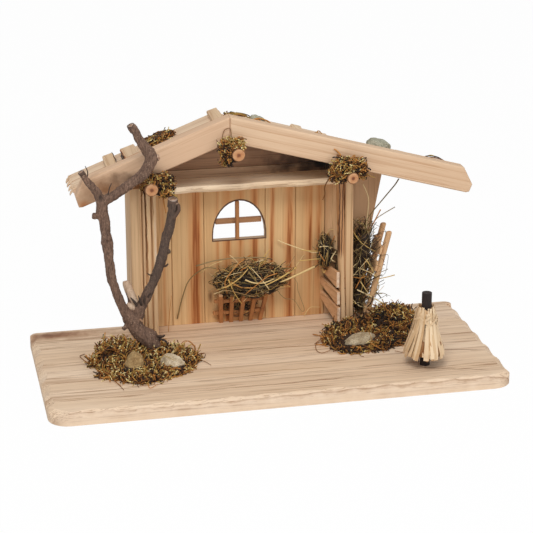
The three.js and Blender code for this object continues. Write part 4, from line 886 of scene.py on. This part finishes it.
FENCE_STALKS = [
    (0.6, 0.9, [(86, 90, 112), (92, 92, 116.8), (94, 90, 122.1), (98.8, 86, 123.7), (102, 82, 121.8)]),
    (0.8, 0.95, [(80.5, 80, 105.9), (87, 80, 106.4), (96.3, 82, 103.5)]),
    (0.8, 0.82, [(60.8, 93, 100), (72.5, 88, 99), (88, 84, 98.9)]),
    (0.8, 0.96, [(100, 80, 99.7), (93.7, 78, 91.1), (98.6, 78, 87.8)]),
    (0.7, 0.66, [(99.5, 84, 117), (95, 84, 107.1), (91.4, 88, 98.8)]),
    (0.5, 0.9, [(67.7, 100, 15), (74.9, 100, 25.1), (86.9, 100, 24.7)]),
]
RACK_STALKS = [
    (0.9, 0.4, [(174.9, 88, 178.8), (170.2, 88, 171.6), (156.7, 88, 155.7), (139.9, 90, 133.4),
        (136, 90, 118)]),
    (0.6, 0.5, [(171.2, 88, 145.3), (157.1, 88, 137.7), (149, 90, 130.6), (142, 90, 116)]),
    (0.8, 0.68, [(154.1, 88, 143.4), (147.5, 88, 130.4), (144.3, 90, 123), (142, 90, 112)]),
    (0.7, 0.97, [(132.4, 88, 175.5), (138, 88, 162.9), (139.7, 88, 151.8), (138.1, 88, 132),
        (137.8, 88, 122.1), (136.4, 86, 104.7)]),
    (0.7, 0.9, [(170, 78, 66), (160.8, 78, 64.1), (152.2, 78, 62.8), (143.5, 80, 59.8), (136, 82, 58)]),
    (0.7, 0.9, [(124.5, 72, 80.2), (138.4, 72, 73.6), (146.3, 72, 67.3)]),
    (0.7, 0.82, [(134.7, 74, 88.7), (144.1, 72, 70.9), (149.8, 72, 56.4), (147, 73, 49.7)]),
    (0.8, 0.68, [(118.5, 76, 68.2), (128.1, 72, 67.5), (133.9, 72, 69.5)]),
    (0.7, 0.66, [(122, 74, 54), (128.1, 72, 67), (135.5, 74, 74.8)]),
    (0.9, 0.95, [(124.2, 74, 52.6), (135.9, 72, 46.5), (150.5, 71, 37.4), (165.4, 70, 28.4),
        (175.7, 70, 20)]),
    (0.8, 0.85, [(127.8, 73, 63), (134, 72, 52.7), (139.2, 73, 44.5)]),
    (0.35, 0.3, [(132.1, 92, 130.1), (135.6, 84, 133.5), (140.3, 76, 131.8), (149, 72, 128.4),
        (154.9, 72, 124.1), (157.2, 74, 116.1)]),
    (0.35, 0.2, [(145.9, 78, 92.2), (153.3, 72, 93.5), (159.9, 73, 92.8), (161.2, 80, 79.7),
        (161.3, 86, 67.4), (157.5, 90, 59.9)]),
    (0.5, 0.05, [(129.8, 78, 91.9), (135, 72, 90.5), (141.8, 72, 88.9), (146, 76, 90.4)]),
    (0.35, 0.3, [(150.7, 74, 56), (146.4, 71, 51.5), (146.5, 72, 39.8), (155.4, 74, 41.4),
        (160.7, 78, 41.9), (166.2, 80, 39.5)]),
    (0.6, 0.8, [(120, 80, 122), (126, 74, 112), (137, 73, 103), (146, 76, 97)]),
    (0.7, 0.5, [(119, 78, 98), (127, 73, 104), (136, 73, 116), (141, 78, 126)]),
    (0.6, 0.95, [(120, 76, 40), (127, 73, 33), (136, 73, 30), (143, 76, 22)]),
]


def loose_ends(strands, rng, middle, reach, count, length, wall):
    """Stalks that start in a heap and stand out of it, more to the sides than to the front."""
    for _ in range(count):
        angle = rng.uniform(0, 2 * math.pi)
        edge = middle + reach * [math.cos(angle), -abs(rng.uniform(0, 0.8)), math.sin(angle)] * 0.7
        heading = np.array([math.cos(angle) * 1.5, rng.uniform(-0.5, 0.2), math.sin(angle) * 0.8 + 0.1])
        path = shoot(rng, edge, heading, rng.uniform(*length) * MM, rng.uniform(0.2, 1.6), 8)
        path[:, 1] = np.minimum(path[:, 1], wall)
        strands.add(path, rng.uniform(0.2, 0.45) * MM, hay_tone(rng, 0.25), flat=0.7)


def up(height):
    """A step up by a height in mm."""
    return np.array([0, 0, height * MM])


def manger_nest():
    """Hay swirled like a nest in the manger, with loose ends standing out."""
    rng = np.random.default_rng(31)
    _, _, middle, reach = extent("manger_hay")
    back = WALL_FRONT - 0.8 * MM
    strands = Strands(4)
    add_shade_core(strands, triangles("manger_hay"), 9 * MM, 0.03)
    middle, reach = middle + up(2.5), reach * [1, 1, 1.15]
    tangle(strands, rng, middle - up(2), reach * [0.86, 0.95, 0.86], 300, 0.5, 0.7, back)
    for side, lift, size, count in NEST_LUMPS:
        lump = middle + reach * [side, -0.1, lift]
        tangle(strands, rng, lump, reach * size * [1, 1.1, 1.5], count, 0.1, 0.5, back)
    loose_ends(strands, rng, middle + up(3), reach, 80, (8, 24), back)
    _, trough, inside, room = extent("manger")
    inside[1] = trough[1] - 6 * MM
    tangle(strands, rng, inside + up(6), room * [0.75, 0.3, 0.85], 110, 0, 0.75, back)
    strands.add_stalks(NEST_STALKS)
    return strands.piece("manger_nest", HAY, "hay", ("manger_hay",))


def rack_bundle():
    """Hay stood upright between the post and the rack, loose enough to see through in places."""
    rng = np.random.default_rng(47)
    low, high, _, _ = extent("rack_hay")
    size = high - low
    strands = Strands(4)
    add_shade_core(strands, triangles("rack_hay"), 12 * MM, 0.1)
    least = [low[0] - 15 * MM, low[1] - 4 * MM, BASE_TOP + MM]
    most = [high[0] + 12 * MM, WALL_FRONT - MM, high[2] + 5 * MM]
    for i in range(860):
        share = rng.random(3)
        z = low[2] + size[2] * share[2] * 0.88
        width = 15 + 9 * (z - low[2]) / size[2]
        spread = share[0] if i % 6 else -rng.uniform(0, 0.9)
        start = np.array([low[0] + (1 + width * spread) * MM, low[1] + size[1] * share[1], z])
        heading = unit(np.array([0.16, 0, 1]) + rng.normal(0, 0.45, 3) * [1, 0.7, 0.4])
        if rng.random() < 0.5:
            heading = unit(rng.normal(0, 1, 3) * [1, 0.8, 0.9])
        path = shoot(rng, start, heading, rng.uniform(12, 36) * MM, rng.uniform(0.2, 2.2), 8)
        thick = rng.choice([0.28, 0.45, 0.75], p=[0.5, 0.37, 0.13]) * MM
        strands.add(np.clip(path, least, most), thick, hay_tone(rng, 0.62), flat=0.55)
    strands.add_stalks(RACK_STALKS)
    return strands.piece("rack_bundle", HAY, "hay", ("rack_hay",))


def fence_wisp():
    """The handful of hay that spills over the fence's top plank."""
    rng = np.random.default_rng(53)
    _, _, middle, reach = extent("fence_hay")
    reach = reach * [1.25, 1.0, 1.08]
    back = WALL_FRONT - MM
    strands = Strands(4)
    add_shade_core(strands, triangles("fence_hay"), 2.5 * MM, 0.02)
    tangle(strands, rng, middle, reach, 210, 0.0, 0.5, back)
    loose_ends(strands, rng, middle, reach, 30, (6, 13), back)
    behind, room = np.array([107, 88, 52]) * MM, np.array([5, 13, 32]) * MM
    tangle(strands, rng, behind, room, 130, 0, 0.75, back)
    strands.add_stalks(FENCE_STALKS)
    return strands.piece("fence_wisp", HAY, "hay", ("fence_hay",))


manger_nest()
rack_bundle()
fence_wisp()


# Straw sheaf

# Height, distance from the peg and half width of a strip of straw at its points, from hem to top, in mm
SHEAF_HEIGHTS = [25, 34, 44, 55, 65.5, 75, 83.5]
SHEAF_RADII = [22.3, 21.2, 18.0, 14.6, 12.0, 10.8, 9.0]
RIBBON_HALF_WIDTHS = [3.4, 3.3, 2.9, 2.4, 2.0, 1.9, 1.5]
# Turns of the tie: where each starts and how far it goes, in radians, and its rise in mm
TIES = [(-3.1, 1.6, 16), (-2.5, 1.4, -15), (-1.9, 1.3, 13), (-1.1, 1.8, 14), (0.4, 2.0, -12), (2.0, 1.8, 12)]


def wrap(strands, middle, reach, turns, heights, widths, tint, flat, rise):
    """A ribbon round an upright axis, its broad side turned outward and up by rise."""
    across, deep = np.cos(turns), np.sin(turns)
    path = np.stack([middle.x + reach * across, middle.y + reach * deep, heights], axis=1)
    facing = np.stack([across, deep, np.full(len(turns), rise)], axis=1)
    strands.add(path, widths, tint, flat=flat, facing=facing)


def sheaf():
    """Flat strips of straw round the peg: ragged above, bound by crossing ribbons, flaring to the hem."""
    rng = np.random.default_rng(61)
    low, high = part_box("sheaf_straw")
    middle = (low + high) / 2
    strands = Strands(4)
    add_shade_core(strands, triangles("sheaf_straw"), 3.5 * MM, 0.16)
    for layer, count in enumerate((34, 32, 24)):
        for i in range(count):
            angle = (i + 0.5 * layer + rng.uniform(-0.35, 0.35)) / count * 2 * math.pi
            heights = np.array(SHEAF_HEIGHTS) * MM
            heights[0] += rng.uniform(0, 6) * MM
            heights[-1] -= rng.uniform(0, 7) * MM
            flare = np.array(SHEAF_RADII) - layer * 1.3 + rng.normal(0, 0.45) + rng.normal(0, 0.25, 7)
            flare[-1] += rng.uniform(-0.8, 1.2)
            flare *= 1 - 0.05 * math.cos(angle)
            sway = rng.normal(0, 0.03)
            turns = angle + sway + np.linspace(rng.normal(-0.12, 0.12), rng.normal(0.12, 0.22), 7)
            widths = np.array(RIBBON_HALF_WIDTHS) * rng.uniform(0.55, 1.05) * MM
            # Painted shade: the inner layers get darker tints, for the shade between the strips.
            tint = np.clip(rng.normal(0.74, 0.18) - layer * 0.16, 0.02, 1)
            wrap(strands, middle, flare * MM, turns, heights, widths, tint, 0.12, 0.25)
    for start, span, rise in TIES:
        turns = start + np.linspace(0, span, 16)
        reach = (12.6 + rng.normal(0, 0.12, 16)) * MM
        heights = (66 + np.linspace(-rise / 2, rise / 2, 16)) * MM
        wrap(strands, middle, reach, turns, heights, 1.7 * MM, 0.8, 0.16, 0.0)
    return strands.piece("sheaf_strips", STRAW, "straw", ("sheaf_straw", "sheaf_tie"), smooth=False)


sheaf()


# Bark

def bark_material(name, pale, dark, speck, stretch=(1, 1, 0.35), shade=None):
    """Ridged bark with darker patches and pale specks in some places."""
    bark = Shader(name, 0.85)
    place = bark.place(stretch=stretch)
    ridges = bark.noise(place, 640, 4, 0.65, 0.4)
    body = bark.mix(bark.ramp(ridges, (0.36, 0.0), (0.64, 1.0)), dark, pale)
    shaded = bark.mix(bark.patches(place, 70, 3, (0.35, 0.0), (0.7, 0.5)), body, dark)
    cells = bark.node("TexVoronoi", {"Vector": bark.place(stretch=(1, 1, 1.8)), "Scale": 330})
    dots = cells.outputs["Distance"]
    specks = bark.ramp(dots, (0.0, 0.8), (0.16, 0.55), (0.24, 0.0))
    sparse = bark.patches(place, 130, 2, (0.48, 0.0), (0.6, 1.0))
    bark.bump(bark.plus(ridges, bark.times(dots, 0.3)), 0.6 * MM, 0.9)
    speckled = bark.mix(bark.times(specks, sparse), shaded, speck)
    return bark.colour(shade(bark, speckled) if shade else speckled)


def cooler_limb(shader, under):
    """The tree's right limb, darker and greyer than its stem."""
    x, z = shader.at("X"), shader.at("Z")
    share = shader.times(shader.span(x, -0.14, -0.122), shader.span(z, 0.05, 0.075),
                         shader.span(z, 0.21, 0.2), 0.6)
    return shader.mix(share, under, (52, 44, 38))


def sawn_ends(shader, under):
    """Pale wood where the mesh is marked as sawn."""
    sawn = shader.node("Attribute", {}, attribute_name="sawn").outputs["Fac"]
    grain = shader.patches(shader.place(), 420, 3, (0.35, 0.0), (0.65, 1.0))
    wooden = shader.mix(grain, (206, 176, 150), (150, 112, 88))
    return shader.mix(shader.ramp(sawn, (0.35, 0.0), (0.65, 1.0)), under, wooden)


# Near-black knots: partly the bark's own dark knots, partly painted shade in knot holes, one of them at the
# upper fork.
KNOT_AND_HOLE_SHADE = (30, 20, 15)
TREE_MARKS = layers(
    cooler_limb,
    stain_and_shade_patch(-172, 16, 213, (9, 14, 6), KNOT_AND_HOLE_SHADE, 0.8),
    stain_and_shade_patch(-174.5, 17, 201, (8, 8, 9), KNOT_AND_HOLE_SHADE, 0.95),
    stain_and_shade_patch(-152, 13, 152, (5, 8, 6), KNOT_AND_HOLE_SHADE, 0.85),
    stain_and_shade_patch(-105, 12, 171, (4, 8, 5), KNOT_AND_HOLE_SHADE, 0.8),
    stain_and_shade_patch(-109, 11, 119, (4, 8, 5), KNOT_AND_HOLE_SHADE, 0.8),
    stain_and_shade_patch(-134, 8, 80, (9, 8, 6), KNOT_AND_HOLE_SHADE, 0.7),
    stain_and_shade_patch(-128, 4, 50, (5, 8, 5), (168, 116, 88), 0.6),
    sawn_ends,
)
TREE_BARK = bark_material("tree_bark", (142, 111, 91), (76, 55, 44), (194, 168, 142), shade=TREE_MARKS)
PEG_BARK = bark_material("peg_bark", (42, 24, 18), (14, 8, 6), (66, 44, 36), (1, 1, 0.15))
BARE_WOOD = wood("bare_limb_wood", (210, 184, 158), (186, 154, 126), (140, 108, 84), ALONG_Z, ring=3)


def remeshed(name, voxel, smoothing):
    """A copy of a CAD node's mesh, rebuilt from small even faces and smoothed."""
    copy = bpy.data.objects.new("remesh_source", nodes[name].data.copy())
    bpy.context.scene.collection.objects.link(copy)
    weld = copy.modifiers.new("weld", "WELD")
    weld.merge_threshold = 0.01 * MM
    remesh = copy.modifiers.new("remesh", "REMESH")
    remesh.mode = "VOXEL"
    remesh.voxel_size = voxel
    smooth = copy.modifiers.new("smooth", "SMOOTH")
    smooth.iterations = smoothing
    graph = bpy.context.evaluated_depsgraph_get()
    made = bpy.data.meshes.new_from_object(copy.evaluated_get(graph))
    bpy.data.objects.remove(copy)
    if "material_index" in made.attributes:
        made.attributes.remove(made.attributes["material_index"])
    return made


def vertex_places(mesh):
    places = np.empty(len(mesh.vertices) * 3)
    mesh.vertices.foreach_get("co", places)
    return places.reshape(-1, 3)


def roughen(mesh, floor, *bumps, still=None):
    """Moves vertices along their normals by layered noise, apart from those marked in still.

    Each layer is (bumps per metre, height in mm, Z stretch). None goes below floor."""
    normals = [v.normal.copy() for v in mesh.vertices]
    for i, (vertex, normal) in enumerate(zip(mesh.vertices, normals)):
        if still is None or not still[i]:
            lift = 0.0
            for scale, height, stretch in bumps:
                place = Vector((vertex.co.x, vertex.co.y, vertex.co.z * stretch)) * scale
                lift += noise.noise(place) * (height * MM)
            vertex.co += normal * lift
        vertex.co.z = max(vertex.co.z, floor)
    mesh.update()


# Sawn ends of the tree: middle and outward direction in mm, and radius
TREE_ENDS = [((-96, 22, 190), (0.18, 0.09, 0.98), 5.6), ((-139, 30, 274), (-0.58, 0.12, 0.81), 4.4),
             ((-194, 18, 229), (-0.52, -0.07, 0.85), 3.5), ((-110, 24, 240), (0.91, -0.18, 0.37), 3.2)]


def tree():
    """The CAD tree under rough bark, with its sawn ends marked and left smooth."""
    mesh = remeshed("tree", 0.9 * MM, 3)
    places = vertex_places(mesh)
    sawn = np.zeros(len(places))
    for middle, outward, radius in TREE_ENDS:
        offset, outward = places - np.array(middle) * MM, unit(np.array(outward))
        height = offset @ outward
        across = np.linalg.norm(offset - height[:, None] * outward, axis=1)
        sawn[(np.abs(height) < 1.6 * MM) & (across < (radius + 0.2) * MM)] = 1
    roughen(mesh, BASE_TOP, (100, 1.1, 0.6), (380, 0.8, 0.3), (1000, 0.35, 0.5), still=sawn > 0)
    mark(mesh, "sawn", sawn)
    return finished("bark_tree", mesh, TREE_BARK, ("tree",))


# Twigs and torn bark on the tree: radii in mm from foot to tip, tint, and points in mm
TREE_TWIGS = [
    ((2.6, 2.2, 2.0, 1.5), 0.35, [(-98, 18, 172), (-94.1, 17, 177), (-91.4, 16, 182), (-91.6, 16, 188)]),
    ((0.8, 0.6, 0.4), 0.1, [(-189, 18, 222), (-187.4, 19, 229), (-189.9, 19, 236)]),
    ((0.9, 0.7, 0.5), 0.15, [(-167, 20, 198), (-166.4, 20, 203), (-164.8, 20, 210), (-162.5, 20, 215)]),
    ((1.6, 1.5, 1.0), 0.2, [(-119, 12, 40), (-114, 6, 41.5), (-111.5, 3, 44)]),
    ((1.4, 1.3, 0.7), 0.1, [(-117, 10, 37), (-111, 5, 37), (-108.5, 3, 33)]),
    ((1.8, 1.4, 1.0), 0.7, [(-140, 12, 63), (-136.4, 9.5, 61.4), (-134.6, 7.5, 59.6)]),
    ((1.7, 1.5, 0.6), 0.12, [(-139, 13, 76), (-142.5, 12, 82), (-146.5, 13, 87)]),
    ((1.6, 1.3, 0.6), 0.12, [(-131, 12, 78), (-132, 10, 84), (-131, 9, 89.5)]),
    ((1.5, 1.3, 0.5), 0.08, [(-135, 11, 78), (-137, 9, 84.5), (-138.5, 9, 90)]),
    ((1.3, 1.1, 0.5), 0.1, [(-128, 12, 84), (-127, 10, 89), (-124.8, 9, 92)]),
    ((1.1, 1.2, 0.8), 0.25, [(-111, 18, 118), (-107, 15, 119.6), (-104.6, 13.5, 122.4)]),
    ((0.9, 0.8, 0.4), 0.15, [(-122, 15, 110), (-125.5, 14, 111.5), (-127.7, 14, 113.5)]),
]
# Sawn ends with a rim of bark: radius in mm, foot and face of each
SAWN_CAPS = [
    (5.6, (-97.2, 23.4, 184), (-96.9, 20.0, 193.2)),
    (4.3, (-137.4, 29.9, 270.6), (-139.4, 29.2, 275.2)),
    (3.4, (-192.6, 18, 226.6), (-195.1, 17.4, 230.6)),
]
# Two limbs without bark: radii in mm from foot to tip, and points in mm
BARE_STUBS = [
    ((4.2, 5.0, 5.2, 4.9, 3.8), [(-139, 17, 74), (-143, 22, 83), (-146, 27, 90), (-148, 31, 96.5),
        (-148.6, 32, 99.5)]),
    ((3.2, 3.8, 3.8, 3.0), [(-139, 16, 72), (-144, 17, 74.3), (-148.5, 17, 76.2), (-150.3, 17, 77)]),
]


def tree_twigs():
    strands = Strands(10)
    for radii, tint, points in TREE_TWIGS:
        strands.add_limb(points, radii, tint, twist=0.3)
    rng = np.random.default_rng(83)
    for radius, foot, face in SAWN_CAPS:
        foot, face = np.array(foot) * MM, np.array(face) * MM
        rise = face - foot
        path = np.array([foot, foot + rise * 0.6, face, face + rise * 0.02, face - rise * 0.05])
        widths = np.array([1.02, 1.04, 1.0, 0.82, 0.4]) * radius * MM
        strands.add(path, widths * rng.uniform(0.97, 1.03, 5), [0.3, 0.3, 0.35, 1.0, 0.8])
    return strands.piece("tree_twigs", TWIG, "bark")


def bare_stubs():
    strands = Strands(12)
    for radii, points in BARE_STUBS:
        strands.add_limb(points, radii, 1, flat=0.92)
    return strands.piece("bare_limb_stubs", BARE_WOOD, "pale_wood")


tree()
tree_twigs()
bare_stubs()

# Bark left on the roof: radius in mm, tint, and points in mm
ROOF_BARK = [
    (2.6, 0.45, [(-115, 64, 232.6), (-109, 67, 235.2), (-103, 71, 237.4), (-98, 76, 239.2)]),
    (0.7, 0.12, [(-150.2, 110, 223.2), (-149, 102, 222.2), (-150, 95, 222.8), (-148.6, 86, 221.4),
        (-149.8, 77, 221.9), (-149, 66.5, 219.4)]),
    (0.6, 0.3, [(-149, 107, 220.6), (-148.3, 96, 219.5), (-149, 84, 220.2), (-148.2, 70, 217.8)]),
    (0.9, 0.1, [(-141.4, 96, 226.6), (-142, 88, 225.4), (-141, 80, 226), (-142, 74, 224.4),
        (-139, 68, 223.6)]),
    (0.8, 0.3, [(-142.4, 92, 224), (-141.6, 82, 222.6), (-142.2, 72, 221.4), (-137, 67.4, 222.6),
        (-130, 67.8, 226)]),
]


def roof_bark():
    """The grey flake that lies on the left roof, and the ragged bark along two battens."""
    strands = Strands(6)
    strands.add_stalks(ROOF_BARK, flat=0.5)
    return strands.piece("roof_bark_flake", TWIG, "bark")


roof_bark()

# Torn fibres under the left deck's end: where each starts, as Y and Z in mm, and its length
EAVE_SPLINTERS = [(66, 196, 5.5), (73, 195, 7), (79, 195.5, 4.5), (86, 196, 7.5), (94, 196, 5),
                  (101, 196.5, 7.5), (108, 196, 5), (112.5, 197, 6.5)]
EAVE_RADII = np.array([2.4, 1.9, 1.0, 0.15]) * MM


def eave_splinters():
    strands = Strands(5)
    for y, z, length in EAVE_SPLINTERS:
        path = [(-198.4, y, z), (-200.6, y - 0.6, z - length * 0.35), (-201.8, y - 0.8, z - length * 0.75),
                (-202.0, y - 0.4, z - length)]
        strands.add(np.array(path) * MM, EAVE_RADII, 0, flat=0.5, facing=(1, 0, 0.3))
    return strands.piece("eave_splinters", LEFT_DECK_WOOD, "pale_wood")


eave_splinters()


# Stones

def stone_material(name, pale, dark, speck, speck_share):
    """Speckled stone in two tones."""
    stone = Shader(name, 0.85)
    place = stone.place()
    body = stone.mix(stone.patches(place, 130, 4, (0.35, 0.0), (0.65, 1.0), rough=0.6), pale, dark)
    grain = stone.noise(place, 1100, 3, 0.6)
    light = stone.patches(place, 800, 3, (0.55, 0.0), (0.7, 0.7), rough=0.6)
    stone.bump(grain, 0.4 * MM, 0.7)
    specked = stone.mix(stone.ramp(grain, (0.5, 0.0), (0.62, speck_share)), body, speck)
    return stone.colour(stone.mix(light, specked, pale))


GREY_STONE = stone_material("grey_stone", (196, 192, 170), (146, 142, 120), (78, 74, 60), 0.8)
FLAT_STONE = stone_material("flat_stone", (204, 188, 158), (158, 136, 104), (92, 74, 50), 0.6)
PALE_STONE = stone_material("pale_stone", (222, 206, 178), (178, 156, 124), (104, 82, 56), 0.6)
TAN_STONE = stone_material("tan_stone", (192, 160, 110), (140, 108, 66), (72, 50, 28), 0.7)
# Material, slot, how far out its random facets lie, and facets of its own as direction and depth
STONES = {
    "roof_stone": (GREY_STONE, "grey_stone", 0.94, [((0.25, 0, 0.97), 0.55), ((0.8, 0, 0.6), 0.72)]),
    "ridge_stone": (GREY_STONE, "grey_stone", 0.94, []),
    "post_stone": (FLAT_STONE, "grey_stone", 0.97, [
        ((0, -0.5, 0.86), 0.72), ((-0.95, -0.2, 0.2), 0.74), ((-0.35, -0.1, 0.93), 0.62),
    ]),
    "tree_stone_right": (PALE_STONE, "grey_stone", 0.84, [
        ((0.6, -0.25, 0.76), 0.42), ((-0.95, -0.3, 0.15), 0.7), ((0.1, -0.95, 0.3), 0.7),
    ]),
    "tree_stone_left": (TAN_STONE, "tan_stone", 0.97, [
        ((-0.72, -0.1, 0.68), 0.64), ((0.98, -0.1, 0.16), 0.74), ((0.5, 0, 0.86), 0.78),
        ((-0.1, -0.9, 0.4), 0.76),
    ]),
}


def add_stone(name, material, slot, depth, facets, seed):
    """A stone roughened over its CAD shape and worn flat on a few sides."""
    rng = np.random.default_rng(seed)
    low, _, middle, half = extent(name)
    mesh = remeshed(name, 0.8 * MM, 2)
    away = (vertex_places(mesh) - middle) / half
    for facet, reach in [(rng.normal(size=3) * [1, 1, 0.8], depth) for _ in range(9)] + facets:
        facet = unit(np.array(facet))
        away -= np.maximum(away @ facet - reach, 0)[:, None] * facet * 0.9
    grown = half * [1.06, 1, 1.1]
    lifted = middle + away * grown + np.array([0, 0, grown[2] - half[2]])
    mesh.vertices.foreach_set("co", lifted.ravel())
    mesh.update()
    roughen(mesh, low[2], (120, 1.0, 1), (420, 0.6, 1), (1100, 0.25, 1))
    finished(f"{name}_rough", mesh, material, (name,))


for stone_seed, (stone_name, look) in enumerate(STONES.items(), 70):
    add_stone(stone_name, *look, stone_seed)

soften(nodes["sheaf_peg"], PEG_BARK, 0.15 * MM)


# Floor, backdrop and light

def add_floor():
    """A white floor that glows to the camera, so that it meets the backdrop without an edge."""
    reach = 4
    mesh = bpy.data.meshes.new("floor")
    corners = [(-reach, -reach, 0), (reach, -reach, 0), (reach, reach, 0), (-reach, reach, 0)]
    mesh.from_pydata(corners, [], [(0, 1, 2, 3)])
    floor = bpy.data.objects.new("floor", mesh)
    floor.location.z = -0.05 * MM
    bpy.context.scene.collection.objects.link(floor)
    shader = Shader("white_floor", 0.9)
    shader.colour((0.9, 0.9, 0.9, 1))
    seen = shader.node("LightPath", {}).outputs["Is Camera Ray"]
    glow = shader.node("Emission", {"Color": (1, 1, 1, 1), "Strength": 1.0}).outputs[0]
    white = shader.node("MixShader", {0: shader.times(seen, 0.97), 1: shader.surface.outputs[0], 2: glow})
    shader.feed(shader.tree.nodes["Material Output"].inputs["Surface"], white.outputs[0])
    mesh.materials.append(shader.material)


def add_world(strength):
    """A white sky that lights the scene with a strength of its own and looks white to the camera."""
    world = bpy.data.worlds.new("studio")
    world.use_nodes = True
    tree = world.node_tree
    background = tree.nodes["Background"]
    path = tree.nodes.new("ShaderNodeLightPath")
    seen = tree.nodes.new("ShaderNodeMath")
    seen.operation = "MAXIMUM"
    tree.links.new(path.outputs["Is Camera Ray"], seen.inputs[0])
    tree.links.new(path.outputs["Is Glossy Ray"], seen.inputs[1])
    level = tree.nodes.new("ShaderNodeMapRange")
    tree.links.new(seen.outputs[0], level.inputs["Value"])
    level.inputs["To Min"].default_value = strength
    level.inputs["To Max"].default_value = 1.0
    background.inputs["Color"].default_value = (1, 1, 1, 1)
    tree.links.new(level.outputs[0], background.inputs["Strength"])
    bpy.context.scene.world = world


def add_softbox(name, place, size, watts):
    """A square lamp that looks at the middle of the stable."""
    data = bpy.data.lights.new(name, "AREA")
    data.size = size
    data.energy = watts
    lamp = bpy.data.objects.new(name, data)
    lamp.location = place
    target = Vector((0, 0, 0.1))
    lamp.rotation_euler = (target - lamp.location).to_track_quat("-Z", "Y").to_euler()
    bpy.context.scene.collection.objects.link(lamp)


add_floor()
add_world(0.42)
add_softbox("key_softbox", (-0.5, -1.3, 1.9), 1.0, 27)
add_softbox("fill_softbox", (1.3, -1.6, 1.0), 1.2, 9)

bpy.context.scene.view_settings.view_transform = "Standard"
